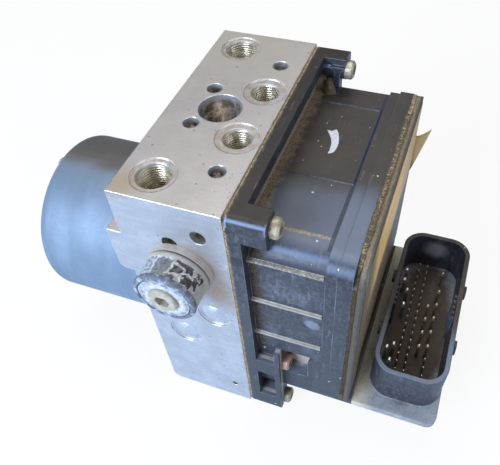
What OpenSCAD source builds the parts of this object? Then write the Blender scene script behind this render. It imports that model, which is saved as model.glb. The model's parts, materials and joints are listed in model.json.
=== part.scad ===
// Brake pressure modulator: a pump motor, a drilled valve block and an electronic controller.
// +X runs from the motor to the controller, +Y from the bush side to the back, +Z out of the pipe ports.
// The origin is the middle of the block's bottom face.

/* [Valve block] */
// Width of the block, from the motor side to the controller side
block_w = 41; // [38:0.5:50]
// Depth of the block, from the bush side to the back
block_d = 101; // [94:1:122]
// Height of the block
block_h = 131; // [118:1:158]
// Radius of the bar's lower edge on the motor side
bar_round = 4; // [1:0.5:6]
// How far the raised land stands out of the motor side
land_out = 6; // [3:0.5:8]
// Distance from the top face down to the land
land_drop = 21; // [18:1:26]
// Height of the land
land_h = 22; // [14:1:26]

/* [Pipe ports] */
// Thread radius of the two outer ports
outer_port_r = 6; // [5:0.5:7]
// Thread depth of the two outer ports
outer_port_depth = 14; // [10:1:16]
// Distance of an outer port from the motor side
outer_port_x = 12.2; // [10:0.1:14]
// Distance of an outer port from the nearest end of the block
outer_port_end = 11.4; // [10:0.1:16]
// Thread radius of the two inner ports
inner_port_r = 5; // [4:0.5:6]
// Thread depth of the two inner ports
inner_port_depth = 12.5; // [9:0.5:15]
// Distance of an inner port from the controller side
inner_port_x = 9.1; // [8.5:0.1:11]
// Distance of an inner port from the middle of the block
inner_port_y = 13.9; // [13:0.1:18]
// Radius of the spot face round every port
spot_r = 8.2; // [7.5:0.1:8.4]
// Depth of a spot face
spot_depth = 0.35; // [0.2:0.05:0.8]
// Radius of the plain bore between the ports
plain_bore_r = 8.25; // [6:0.25:9]
// Depth of the plain bore
plain_bore_depth = 15; // [10:1:18]
// Radius of the blind drillings
drill_r = 3.05; // [2:0.05:3.5]
// Depth of the blind drillings
drill_depth = 9; // [6:0.5:10]

/* [Mounting bush] */
// Distance of the bush's axis from the controller side
bush_x = 18.9; // [16:0.1:22]
// Distance of the bush's axis below the top face
bush_drop = 32; // [28:1:38]
// Outer radius of the rubber
bush_r = 12.2; // [10:0.2:14]
// Height of the bush above the block
bush_h = 15; // [12:0.2:20]
// Thread radius of the bush's screw
bush_screw_r = 4; // [3:0.5:5]
// Depth of the bush's threaded hole
bush_hole_depth = 11; // [9:0.5:12]

/* [Pump] */
// Height of the motor and pump axis above the base
motor_z = 50.5; // [46:0.5:60]
// Distance of the pump bores from the motor side
pump_x = 15.1; // [14:0.1:16]
// Throw of the eccentric
throw = 1.2; // [0.8:0.1:1.6]
// Outer radius of the ring on the eccentric
ring_r = 9.5; // [9:0.1:10.5]
// Radius of a pump piston
piston_r = 4; // [3:0.1:5]
// Outer radius of a pump cylinder sleeve
sleeve_r = 6.8; // [6:0.1:7]
// Length of the spring behind a pump piston
pump_spring_len = 11.4; // [8:0.2:14]
// Length of the domed plug that closes a pump bore
plug_len = 8; // [5:0.5:10]

/* [Accumulators] */
// Radius of an accumulator piston
acc_r = 10.5; // [8:0.5:11]
// Depth of an accumulator bore
acc_depth = 24; // [20:1:27]
// Distance of an accumulator from the middle of the block
acc_y = 25; // [22:0.5:30]
// Height of an accumulator piston
acc_piston_h = 8; // [6:0.5:10]
// Travel of an accumulator piston
acc_travel = 7; // [4:0.5:8]

/* [Motor] */
// Outer radius of the motor can
can_r = 38.6; // [35:0.2:42]
// Length of the motor can
can_len = 66.7; // [60:0.1:80]
// Wall of the motor can
can_wall = 2.2; // [1.5:0.1:3]
// Rounding of the can's closed end
can_round = 6.7; // [4:0.1:9]
// Radius of the armature
armature_r = 25.5; // [22:0.5:25.5]
// Number of slots in the armature and bars in the commutator
slots = 12; // [8:1:14]
// Distance of a through bolt from the motor axis
bolt_ring_r = 29.2; // [28.6:0.1:30]
// Radius of a through bolt
bolt_r = 2; // [1.5:0.1:2.5]

/* [Controller] */
// Length of the housing from its flange to the board's seat
housing_len = 32.5; // [30:0.5:40]
// Thickness of the flange
flange_t = 4.7; // [3:0.1:6]
// Distance from the block's top face down to the housing's top
body_drop = 14.8; // [14:0.2:18]
// Distance from the block's end in to the housing's side
body_inset = 3.9; // [3:0.1:5]
// Rounding along the housing's front top edge
body_round = 11; // [6:0.5:13]
// Wall of the housing
wall = 2.2; // [1.8:0.1:2.6]
// Height of the housing's underside above the base
plate_low = 20; // [16:1:24]
// Thickness of the base plate
plate_t = 4; // [3:0.5:5]
// Thickness of the cover
cover_t = 2.6; // [2:0.1:4]

/* [Connector] */
// Outer width of the shroud
shroud_w = 30.6; // [30:0.2:36]
// Outer length of the shroud
shroud_l = 79.4; // [74:0.2:94]
// Height of the shroud above the base plate
shroud_h = 22; // [16:0.5:28]
// Wall of the shroud
shroud_wall = 2; // [1.5:0.1:2.4]
// Outer corner radius of the shroud
shroud_round = 9.5; // [6:0.5:12]
// Gap between the cover and the shroud
shroud_gap = 5.9; // [4:0.1:12]
// Height of the pins above the base plate
pin_h = 10; // [7:0.5:14]
// Number of small pins in each of the two long rows
row_pins = 16; // [8:1:16]
// Pitch of the small pins
row_pitch = 4; // [3:0.1:4.2]

/* [Screws] */
// Thread radius of the controller's screws
screw_r = 2.5; // [2:0.1:3]
// Head radius of the controller's screws
screw_head_r = 3.7; // [3.5:0.1:5]
// Head height of the controller's screws
screw_head_h = 3.2; // [2.5:0.1:4.5]

/* [Fits] */
// Gap between pieces that are pushed or screwed together
fit = 0.05; // [0.03:0.01:0.1]
// Radial clearance of a piston in its bore
slide_fit = 0.04; // [0.02:0.01:0.08]
// Gap between the spinning pieces and what stands round them
air = 0.6; // [0.4:0.1:1]

/* [Hidden] */
$fn = 48;
eps = 0.01;

// Faces of the block
x_motor = -block_w / 2;
x_ctrl = block_w / 2;
half_d = block_d / 2;

// Valve bores: three rows of four, between the plugs and the ports
valve_r = 5.2;
valve_rows = 3;
valve_cols = 4;
row_top = block_h - 26;
row_low = motor_z + 7.5;
valve_dz = (row_top - row_low) / (valve_rows - 1);
valve_dy = (block_d - 41) / (valve_cols - 1);
valve_depth = block_w - pump_x - sleeve_r - 3.3;
mid_row_z = row_low + valve_dz / 2;
mid_col_y = valve_dy;

// Bores on the pump's side of the block
bearing_w = 8;
bearing_r = 13;
cavity_r = ring_r + throw + 0.5;
cavity_end = pump_x + 6.9;
piston_in = ring_r + throw + 0.2;
sleeve_in = bearing_r + 1;
plug_face = half_d - plug_len - 0.2;
piston_out = plug_face - pump_spring_len;
plug_groove_r = sleeve_r + 0.6;

// Smaller bores
damper_r = 6.3;
damper_len = 6;
damper_z = 70.5;
damper_x = 10.2;
side_drills = [[-0.9, 19.9], [10.8, 13]];
low_drill_x = 13.7;
low_drill_z = 13.1;
low_drill_r = 1.5;
terminal_r = 1;
terminal_gap = 1.7;
passage_r = 4;

// The controller's screws sit in three pairs along the block's ends
screw_inset = 6;
screw_depth = 11;
screw_zs = [block_h - 5.5, 38.8, 5.4];
boss_out = 13.5;
low_boss_out = 15;
lug_d = 8.6;

// Controller, from the block outwards
gasket_t = 1;
x_flange = x_ctrl + gasket_t;
x_body = x_flange + flange_t;
x_board = x_flange + housing_len;
band_one = 4;
band_two = 5.3;
band_step = 0.6;
x_band_one = x_board - 0.5;
x_band_two = x_band_one + band_one;
x_rim = x_band_two + band_two;
bead_t = 1.4;
x_cover = x_rim + bead_t;
x_face = x_cover + cover_t;
body_half = half_d - body_inset;
body_top = block_h - body_drop;
plate_top = plate_low + plate_t;
// Below this ledge the side stands back a little, and the bands end on it
ledge_z = 52.3;
low_half = body_half - 0.6;
// The bands are proudest over the rounded edge, down to this shoulder
shoulder_z = body_top - 6.5;
cavity_half = body_half - wall;
cavity_low = plate_top + 1;
board_t = 1.6;

// Recess in the housing's side that clears the middle screws and the driver
recess_len = 26.1;
recess_half = 40.2;
recess_low = 33.2;
recess_lean = [2.6, 7.3];

// Coils over the valve domes
dome_r = 3.6;
coil_gap = 2.5;
coil_r = min(valve_dy - coil_gap, valve_dz - coil_gap, 17, 2 * (body_top - wall - 0.4 - row_top)) / 2;
x_coil = x_body - 0.2;
coil_len = x_board - 8 - x_coil;
yoke_wall = 1.1;

// Connector
shroud_x = x_face + shroud_gap + shroud_w / 2;
x_plate_end = shroud_x + shroud_w / 2 + 0.7;
seat_depth = 3;

// Motor, measured out from the block's face
core_start = 22;
core_len = 31;
turns_len = 6.2;
shaft_r = 4;
journal_r = 5;
eccentric_r = 6;
end_bearing_r = 11;
end_bearing_w = 7;
dome_out = 4.8;
commutator_r = 9;
brush_plate_t = 4;
brush_mid = 9.4;
brush_size = [9.6, 6, 5];

// The bar's outline, seen from the bush side
module bar_outline() {
  difference() {
    union() {
      translate([x_motor, 0]) square([block_w, block_h]);
      translate([x_motor - land_out, block_h - land_drop - land_h]) difference() {
        square([land_out + eps, land_h]);
        difference() {
          square([3, 3]);
          translate([3, 3]) circle(3);
        }
      }
    }
    translate([x_motor, 0]) difference() {
      square(bar_round);
      translate([bar_round, bar_round]) circle(bar_round);
    }
  }
}

// A hole drilled down from the top face, with the cone that the drill leaves
module top_drill(r, depth) {
  translate([0, 0, block_h - depth]) cylinder(h = depth + 1, r = r);
  translate([0, 0, block_h - depth - r * 0.6]) cylinder(h = r * 0.6 + eps, r1 = 0.2, r2 = r);
}

module port(x, y, r, depth) {
  translate([x, y, 0]) {
    top_drill(r, depth);
    translate([0, 0, block_h - 0.5 - spot_depth]) cylinder(h = 0.5 + eps, r1 = r - eps, r2 = r + 0.5);
    translate([0, 0, block_h - spot_depth]) cylinder(h = spot_depth + 1, r = spot_r);
    translate([0, 0, block_h - depth - 9]) cylinder(h = 9, r = 1.6);
  }
}

// A hole drilled in from the bush side at side -1, or from the back at side 1
module side_hole(x, z, r, depth, side) {
  translate([x, side * (half_d - depth), z]) rotate([-90 * side, 0, 0]) cylinder(h = depth + 1, r = r);
}

// Children are drawn with their z along +X
module along_x(x, y, z) {
  translate([x, y, z]) rotate([0, 90, 0]) children();
}

// Children are drawn with their z pointing out of the motor
module out_of_motor() {
  translate([x_motor, 0, motor_z]) rotate([0, -90, 0]) children();
}

// A flat drawing whose x is Y and whose y is Z, thickened towards +X
module across(x, t) {
  translate([x, 0, 0]) rotate([90, 0, 90]) linear_extrude(t) children();
}

function valve_y(col) = (col - (valve_cols - 1) / 2) * valve_dy;
function valve_z(row) = row_low + row * valve_dz;

module at_valves(cols, rows) {
  for (col = cols) {
    for (row = rows) {
      translate([0, valve_y(col), valve_z(row)]) children();
    }
  }
}

module at_screws() {
  for (side = [-1, 1]) {
    for (z = screw_zs) {
      translate([0, side * (half_d - screw_inset), z]) children();
    }
  }
}

module valve_block() {
  color("silver") difference() {
    translate([0, half_d, 0]) rotate([90, 0, 0]) linear_extrude(block_d) bar_outline();
    // The land is relieved round the motor can
    out_of_motor() cylinder(h = land_out + 1, r = can_r + 0.8, $fn = 96);
    for (side = [-1, 1]) {
      port(x_motor + outer_port_x, side * (half_d - outer_port_end), outer_port_r, outer_port_depth);
      port(x_ctrl - inner_port_x, side * inner_port_y, inner_port_r, inner_port_depth);
      translate([x_ctrl - inner_port_x, side * (half_d - 18.9), 0]) top_drill(drill_r, drill_depth);
      translate([x_motor + outer_port_x + 0.4, side * 10.75, 0]) top_drill(drill_r, drill_depth);
      for (spot = side_drills) side_hole(spot[0], block_h - spot[1], drill_r, drill_depth - 1, side);
      side_hole(low_drill_x, low_drill_z, low_drill_r, 5, side);
      side_hole(x_ctrl - bush_x, block_h - bush_drop, bush_screw_r, bush_hole_depth, side);
      // Damper bore, and pump bore with its narrower way in to the eccentric
      side_hole(x_ctrl - damper_x, damper_z, damper_r + fit, damper_len + 3, side);
      side_hole(x_ctrl - damper_x, damper_z, damper_r + 0.6, 0.9, side);
      side_hole(x_motor + pump_x, motor_z, sleeve_r + fit, half_d - sleeve_in, side);
      side_hole(x_motor + pump_x, motor_z, piston_r + 0.4, half_d - cavity_r + 3, side);
      side_hole(x_motor + pump_x, motor_z, plug_groove_r, 0.9, side);
      translate([0, side * acc_y, -1]) cylinder(h = acc_depth + 1, r = acc_r + slide_fit);
      translate([0, side * acc_y, -1]) cylinder(h = 4.2, r = acc_r + 0.5);
      // Threaded holes of the motor's through bolts
      out_of_motor() translate([side * bolt_ring_r, 0, -13]) cylinder(h = 14, r = bolt_r + fit);
    }
    translate([x_motor + 19.5, 0, 0]) top_drill(plain_bore_r, plain_bore_depth);
    // Bearing seat and the eccentric's cavity behind it
    out_of_motor() translate([0, 0, -bearing_w - 1]) cylinder(h = bearing_w + 2, r = bearing_r + fit);
    out_of_motor() translate([0, 0, -cavity_end]) cylinder(h = cavity_end, r = cavity_r);
    out_of_motor() seal_ring(0.95);
    at_valves([0 : valve_cols - 1], [0 : valve_rows - 1])
      along_x(x_ctrl - valve_depth, 0, 0) cylinder(h = valve_depth + 1, r = valve_r + fit);
    along_x(x_motor - 1, -mid_col_y, mid_row_z) cylinder(h = block_w + 2, r = passage_r + fit);
    along_x(x_ctrl - 10, mid_col_y, mid_row_z) cylinder(h = 11, r = 4.5 + fit);
    at_screws() along_x(x_ctrl - screw_depth - 1, 0, 0) cylinder(h = screw_depth + 2, r = screw_r);
  }
}

// A plug pressed in and staked: a ball-shaped face inside a turned groove
module domed_plug(r, len) {
  intersection() {
    cylinder(h = len + 1, r = r);
    union() {
      cylinder(h = len - 0.9, r = r);
      translate([0, 0, len + 0.9 - r * 1.5]) sphere(r * 1.5);
    }
  }
}

module side_plug(x, z, r, len, side) {
  translate([x, side * (half_d - len), z]) rotate([-90 * side, 0, 0]) domed_plug(r, len);
}

module damper_plugs() {
  color("gainsboro") for (side = [-1, 1]) {
    side_plug(x_ctrl - damper_x, damper_z, damper_r, damper_len, side);
  }
}

module pump_plugs() {
  color("gainsboro") for (side = [-1, 1]) {
    side_plug(x_motor + pump_x, motor_z, sleeve_r, plug_len, side);
  }
}

// The bush stands on the front face; its drawings grow out of that face
module on_bush() {
  translate([x_ctrl - bush_x, -half_d, block_h - bush_drop]) rotate([90, 0, 0]) children();
}

bush_washer_t = 2.6;
bush_flange_z = bush_h - 1.6;
bush_flange_r = bush_r - 2.5;
bush_tube_r = bush_screw_r + 2.2;

module bush_washer() {
  color("lightgrey") on_bush() difference() {
    cylinder(h = bush_washer_t, r = bush_r + 0.2);
    translate([0, 0, -1]) cylinder(h = bush_washer_t + 2, r = bush_screw_r + 0.3);
  }
}

module bush_rubber() {
  color("black") on_bush() rotate_extrude() difference() {
    union() {
      translate([bush_tube_r + fit, bush_washer_t])
        square([bush_r - 0.6 - bush_tube_r, bush_h - bush_washer_t - 1.5]);
      translate([bush_r - 1.2, bush_washer_t + 1.2]) circle(1.2);
      translate([bush_r - 1.7, bush_h - 1.4]) circle(1.4);
      translate([bush_r - 1.7 - 1, bush_h - 2.5]) square([1, 2.5]);
    }
    translate([0, bush_flange_z - 0.1]) square([bush_flange_r + 0.1, 5]);
  }
}

module bush_sleeve() {
  color("white") on_bush() difference() {
    union() {
      translate([0, 0, bush_washer_t]) cylinder(h = bush_flange_z - bush_washer_t + 0.5, r = bush_tube_r);
      translate([0, 0, bush_flange_z]) cylinder(h = 1.2, r = bush_flange_r);
    }
    translate([0, 0, -1]) cylinder(h = bush_h + 2, r = bush_screw_r + 0.3);
  }
}

module bush_screw() {
  head_r = bush_screw_r + 1.5;
  color("darkkhaki") on_bush() difference() {
    union() {
      translate([0, 0, 1 - bush_hole_depth])
        cylinder(h = bush_hole_depth + bush_flange_z + 0.5, r = bush_screw_r - fit);
      translate([0, 0, bush_flange_z + 1.2]) cylinder(h = 1, r = head_r);
      translate([0, 0, bush_flange_z + 2.2 - eps]) cylinder(h = 0.5, r1 = head_r, r2 = head_r - 0.5);
    }
    translate([0, 0, bush_flange_z - 1.5]) cylinder(h = 6, r = 2.9, $fn = 6);
  }
}

module accumulator_caps() {
  color("silver") for (side = [-1, 1]) {
    translate([0, side * acc_y, 0.3]) difference() {
      cylinder(h = 2.8, r = acc_r + 0.4);
      translate([0, 0, -1]) cylinder(h = 2, r = acc_r - 2.5);
      translate([0, 0, -1]) cylinder(h = 5, r = 0.8);
    }
  }
}

acc_piston_z = acc_depth - 0.2 - acc_piston_h;
acc_groove = 1.6;

module accumulator_piston(side) {
  translate([0, side * acc_y, acc_piston_z]) difference() {
    cylinder(h = acc_piston_h, r = acc_r);
    translate([0, 0, -1]) cylinder(h = acc_piston_h - 2, r = acc_r - 2.6);
    translate([0, 0, acc_piston_h / 2]) difference() {
      cylinder(h = acc_groove, r = acc_r + 1);
      translate([0, 0, -1]) cylinder(h = acc_groove + 2, r = acc_r - 1.3);
    }
  }
}

module accumulator_seal(side) {
  translate([0, side * acc_y, acc_piston_z + acc_piston_h / 2 + 0.1]) difference() {
    cylinder(h = acc_groove - 0.2, r = acc_r);
    translate([0, 0, -1]) cylinder(h = acc_groove + 2, r = acc_r - 1.25);
  }
}

module accumulator_piston_front() { color("lightsteelblue") accumulator_piston(-1); }
module accumulator_piston_back() { color("lightsteelblue") accumulator_piston(1); }
module accumulator_seal_front() { color("black") accumulator_seal(-1); }
module accumulator_seal_back() { color("black") accumulator_seal(1); }

// A coiled wire along +Z, swept as rings of short wire; its two ends lie flat
function coil_rise(t, turns, len, wire) =
  wire + (len - 2 * wire) * min(1, max(0, (t * turns - 0.75) / (turns - 1.5)));
function coil_point(t, r, turns, len, wire) =
  [r * cos(360 * turns * t), r * sin(360 * turns * t), coil_rise(t, turns, len, wire)];

module coil_spring(r, wire, turns, len, steps = 14, sides = 6) {
  rings = turns * steps;
  points = [for (i = [0 : rings])
    let (t = i / rings, p = coil_point(t, r, turns, len, wire), a = 360 * turns * t)
    for (k = [0 : sides - 1]) let (b = 360 * k / sides)
      p + wire * [cos(a) * cos(b), sin(a) * cos(b), sin(b)]];
  sides_faces = [for (i = [0 : rings - 1]) for (k = [0 : sides - 1]) let (n = (k + 1) % sides)
    [i * sides + k, i * sides + n, (i + 1) * sides + n, (i + 1) * sides + k]];
  cap_start = [for (k = [sides - 1 : -1 : 0]) k];
  cap_end = [for (k = [0 : sides - 1]) rings * sides + k];
  polyhedron(points = points, faces = concat([cap_start], sides_faces, [cap_end]));
}

module accumulator_spring(side) {
  spring_len = acc_piston_z + acc_piston_h - 3 - 3.2;
  translate([0, side * acc_y, 3.15]) coil_spring(acc_r - 4.2, 0.8, 4, spring_len);
}

module accumulator_spring_front() { color("dimgrey") accumulator_spring(-1); }
module accumulator_spring_back() { color("dimgrey") accumulator_spring(1); }

// A sealed cartridge: its body in the block, its flange, and the domed tube for the coil
module valve_cartridge(dome_len) {
  along_x(x_ctrl - valve_depth + 0.2, 0, 0) {
    cylinder(h = valve_depth - 0.2, r = valve_r);
    translate([0, 0, valve_depth - 0.2 - eps]) cylinder(h = 1.5, r = valve_r - 0.6);
    translate([0, 0, valve_depth - 0.2]) cylinder(h = dome_len - dome_r, r = dome_r);
    translate([0, 0, valve_depth - 0.2 + dome_len - dome_r]) sphere(dome_r);
  }
}

dome_full = x_coil + coil_len - 1.5 - x_ctrl;

module inlet_valves() {
  color("silver") at_valves([0 : 3], [2]) valve_cartridge(dome_full);
}

module outlet_valves() {
  color("silver") at_valves([0 : 3], [0]) valve_cartridge(dome_full - 3);
}

module switching_valves() {
  color("silver") at_valves([0, 3], [1]) valve_cartridge(dome_full - 1);
}

module priming_valves() {
  color("silver") at_valves([1, 2], [1]) valve_cartridge(dome_full - 2);
}

module pressure_sensor() {
  color("silver") {
    translate([0, mid_col_y, mid_row_z]) {
      along_x(x_ctrl - 9.8, 0, 0) cylinder(h = 10.8, r = 4.5);
      along_x(x_ctrl + 1, 0, 0) cylinder(h = 14, r = 5.2);
      for (i = [-1 : 1]) {
        along_x(x_ctrl + 15 - eps, 0, 2.4 * i) cylinder(h = x_board - x_ctrl - 15, r = 0.5, $fn = 24);
      }
    }
  }
}

// The pump pieces lie on the cross bore, drawn outwards from the motor axis
module on_pump(side) {
  translate([x_motor + pump_x, 0, motor_z]) rotate([-90 * side, 0, 0]) children();
}

module pump_piston(side) {
  on_pump(side) translate([0, 0, piston_in]) cylinder(h = piston_out - piston_in, r = piston_r);
}

module pump_spring(side) {
  on_pump(side) translate([0, 0, piston_out + fit])
    coil_spring(piston_r - 0.8, 0.45, 5, pump_spring_len - 2 * fit);
}

module pump_piston_front() { color("lightsteelblue") pump_piston(-1); }
module pump_piston_back() { color("lightsteelblue") pump_piston(1); }
module pump_spring_front() { color("dimgrey") pump_spring(-1); }
module pump_spring_back() { color("dimgrey") pump_spring(1); }

module pump_sleeves() {
  color("grey") for (side = [-1, 1]) {
    on_pump(side) translate([0, 0, sleeve_in]) difference() {
      cylinder(h = plug_face - sleeve_in, r = sleeve_r);
      translate([0, 0, -1]) cylinder(h = plug_face, r = piston_r + slide_fit);
    }
  }
}

// Half section of a drawn can, with its rounded closed end and bearing dome
module can_section(r, len, round_r, dome_r, dome_len) {
  square([r, len - round_r]);
  square([r - round_r, len]);
  translate([r - round_r, len - round_r]) intersection() {
    circle(round_r);
    square(round_r);
  }
  square([dome_r, len + dome_len]);
}

module motor_can() {
  color("slategrey") out_of_motor() difference() {
    rotate_extrude($fn = 96) difference() {
      union() {
        can_section(can_r, can_len, can_round, end_bearing_r + can_wall - 1, dome_out);
        translate([0, can_len]) square([end_bearing_r + can_wall, dome_out - 1]);
        translate([end_bearing_r + can_wall - 1, can_len + dome_out - 1]) circle(1);
      }
      translate([0, -eps]) can_section(can_r - can_wall, can_len - can_wall + eps, can_round - can_wall,
        end_bearing_r + fit, dome_out);
    }
    for (side = [-1, 1]) {
      translate([side * bolt_ring_r, 0, can_len - can_wall - 1]) cylinder(h = can_wall + 2, r = bolt_r + 0.2);
    }
  }
}

magnet_in = armature_r + air;
magnet_out = can_r - can_wall - fit;
magnet_arc = 66;

module motor_magnets() {
  color("dimgrey") out_of_motor() {
    for (k = [0 : 3]) {
      rotate([0, 0, 45 + 90 * k]) translate([0, 0, core_start - 3]) linear_extrude(core_len + 6)
        intersection() {
          difference() {
            circle(magnet_out, $fn = 96);
            circle(magnet_in, $fn = 96);
          }
          polygon([[0, 0], [can_r, -can_r * tan(magnet_arc / 2)], [can_r, can_r * tan(magnet_arc / 2)]]);
        }
    }
  }
}

slot_mid_r = armature_r - 6.5;
slot_pocket_r = min(3.4, slot_mid_r * PI / slots - 1.1);

module slot_drawing(pocket_r, mouth) {
  for (k = [0 : slots - 1]) {
    rotate(360 * k / slots) {
      translate([slot_mid_r, 0]) circle(pocket_r, $fn = 24);
      translate([slot_mid_r, -mouth / 2]) square([armature_r, mouth]);
    }
  }
}

module armature_core() {
  color("grey") out_of_motor() translate([0, 0, core_start]) linear_extrude(core_len) difference() {
    circle(armature_r, $fn = 96);
    slot_drawing(slot_pocket_r, 1.8);
    circle(shaft_r + fit);
  }
}

// Copper in the slots, joined by the rounded end turns
module armature_windings() {
  color("peru") out_of_motor() {
    translate([0, 0, core_start - 0.5]) linear_extrude(core_len + 1) intersection() {
      slot_drawing(slot_pocket_r - 0.1, 0.1);
      circle(slot_mid_r + slot_pocket_r - 0.1);
    }
    for (z = [core_start - turns_len - 0.1, core_start + core_len + 0.1]) {
      translate([0, 0, z]) rotate_extrude() {
        translate([shaft_r + 4, 0]) square([armature_r - 2.5 - shaft_r - 6, turns_len]);
        translate([shaft_r + 6, 1.5]) square([armature_r - 2.5 - shaft_r - 6, turns_len - 3]);
        for (y = [1.5, turns_len - 1.5]) translate([armature_r - 4, y]) circle(1.5, $fn = 24);
      }
    }
  }
}

module commutator() {
  start = brush_plate_t + 1;
  color("peru") out_of_motor() translate([0, 0, start])
    linear_extrude(core_start - turns_len - 0.6 - start) difference() {
      circle(commutator_r);
      circle(shaft_r + fit);
      for (k = [0 : slots - 1]) {
        rotate(360 * k / slots) translate([commutator_r - 1.2, -0.25]) square([3, 0.5]);
      }
    }
}

module motor_shaft() {
  color("silver") out_of_motor() {
    cylinder(h = can_len + dome_out - can_wall - 0.4, r = shaft_r);
    translate([0, 0, -bearing_w - 1 - air]) cylinder(h = bearing_w + 1 + air, r = journal_r);
    translate([0, throw, -cavity_end + 0.4])
      cylinder(h = cavity_end - bearing_w - 1.4 - air + eps, r = eccentric_r);
  }
}

// A sealed ball bearing, made as one piece
module sealed_bearing(r, bore_r, w) {
  rotate_extrude() difference() {
    translate([bore_r, 0]) square([r - bore_r, w]);
    for (y = [0, w]) {
      translate([bore_r + 1.6, y - 0.3]) square([r - bore_r - 3.6, 0.6]);
    }
  }
}

module motor_end_bearing() {
  color("silver") out_of_motor() translate([0, 0, can_len + dome_out - can_wall - end_bearing_w])
    sealed_bearing(end_bearing_r, shaft_r + fit, end_bearing_w);
}

module motor_block_bearing() {
  color("silver") out_of_motor() translate([0, 0, -bearing_w - 1])
    sealed_bearing(bearing_r, journal_r + fit, bearing_w);
}

module eccentric_ring() {
  color("silver") out_of_motor() translate([0, throw, -pump_x - 4.5]) difference() {
    cylinder(h = 9, r = ring_r);
    translate([0, 0, -1]) cylinder(h = 11, r = eccentric_r + slide_fit);
  }
}

// A ring of round section under the can's rim
module seal_ring(section_r) {
  rotate_extrude($fn = 96) translate([can_r - can_wall / 2, -0.2]) circle(section_r, $fn = 24);
}

module motor_seal() {
  color("black") out_of_motor() difference() {
    seal_ring(0.9);
    cylinder(h = 5, r = can_r + 5);
  }
}

module at_brushes() {
  for (k = [0 : 3]) {
    rotate([0, 0, 45 + 90 * k]) children();
  }
}

module brush_plate() {
  color("saddlebrown") out_of_motor() difference() {
    union() {
      translate([0, 0, 0.6]) cylinder(h = brush_plate_t - 0.6, r = can_r - can_wall - 0.15, $fn = 96);
      at_brushes() translate([commutator_r + 1.2, -4.6, brush_plate_t - eps]) cube([18, 9.2, 8.6]);
    }
    translate([0, 0, -1]) cylinder(h = 10, r = commutator_r - 2.4);
    translate([0, 0, brush_plate_t + 0.6]) cylinder(h = 12, r = commutator_r + 0.5);
    at_brushes() translate([0, -brush_size[1] / 2 - 0.1, brush_mid - brush_size[2] / 2 - 0.1])
      cube([commutator_r + 17.2, brush_size[1] + 0.2, brush_size[2] + 0.2]);
    for (side = [-1, 1]) {
      translate([side * bolt_ring_r, 0, -1]) cylinder(h = 8, r = bolt_r + 0.3);
    }
    for (side = [-1, 1]) {
      translate([mid_row_z - motor_z + side * terminal_gap, -mid_col_y, -1])
        cylinder(h = 8, r = terminal_r + fit);
    }
  }
}

module brushes() {
  color("dimgrey") out_of_motor() at_brushes()
    translate([commutator_r + 0.25, -brush_size[1] / 2, brush_mid - brush_size[2] / 2]) cube(brush_size);
}

module brush_springs() {
  color("silver") out_of_motor() at_brushes()
    translate([commutator_r + 0.3 + brush_size[0], 0, brush_mid]) rotate([0, 90, 0])
      coil_spring(1.7, 0.3, 4, 17.2 - 0.4 - brush_size[0], 10, 5);
}

module motor_bolts() {
  color("silver") out_of_motor() for (side = [-1, 1]) {
    translate([side * bolt_ring_r, 0, 0]) {
      translate([0, 0, -12]) cylinder(h = 12 + can_len + 1, r = bolt_r);
      translate([0, 0, can_len]) cylinder(h = 2.6, r = 3.6);
      translate([0, 0, can_len + 2.6 - eps]) cylinder(h = 0.7, r1 = 3.6, r2 = 2.6);
    }
  }
}

module motor_terminals() {
  color("goldenrod") for (side = [-1, 1]) {
    along_x(x_motor - brush_plate_t, -mid_col_y, mid_row_z + side * terminal_gap)
      cylinder(h = x_board - x_motor + brush_plate_t, r = terminal_r);
  }
}

module terminal_sleeve() {
  color("ivory") difference() {
    along_x(x_motor + 0.4, -mid_col_y, mid_row_z) cylinder(h = block_w + 3, r = passage_r);
    for (side = [-1, 1]) {
      along_x(x_motor - 1, -mid_col_y, mid_row_z + side * terminal_gap)
        cylinder(h = block_w + 9, r = terminal_r + fit);
    }
  }
}

// A rectangle with rounded corners, its middle at the origin
module rounded_rect(w, h, r) {
  square([w - 2 * r, h], center = true);
  square([w, h - 2 * r], center = true);
  for (x = [-1, 1]) {
    for (y = [-1, 1]) {
      translate([x * (w / 2 - r), y * (h / 2 - r)]) circle(r);
    }
  }
}

// The housing seen from the motor: its front top edge has a large rounding, its back one a small one
module body_drawing(half, low, top, r) {
  back_r = 1.5;
  translate([-half, low]) square([2 * half, top - low - r]);
  translate([r - half, low]) square([2 * half - r - back_r, top - low]);
  translate([r - half, top - r]) circle(r);
  translate([0, low]) square([half, top - low - back_r]);
  translate([half - back_r, top - back_r]) circle(back_r);
}

module flange_drawing() {
  translate([0, block_h / 2]) rounded_rect(block_d, block_h, 2.5);
}

module cavity_drawing() {
  difference() {
    body_drawing(cavity_half, cavity_low, body_top - wall, body_round - wall);
    for (side = [-1, 1]) {
      translate([side * (recess_half + 10 - 1.5), cavity_low])
        square([20, 2 * (ledge_z + 1.5 - cavity_low)], center = true);
    }
  }
}

module controller_gasket() {
  color("tan") difference() {
    across(x_ctrl + eps, gasket_t - 2 * eps) difference() {
      translate([0, block_h / 2]) rounded_rect(block_d - 0.8, block_h - 0.8, 2.5);
      cavity_drawing();
    }
    at_screws() along_x(x_ctrl - 1, 0, 0) cylinder(h = gasket_t + 2, r = screw_r + 0.3);
  }
}

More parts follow.
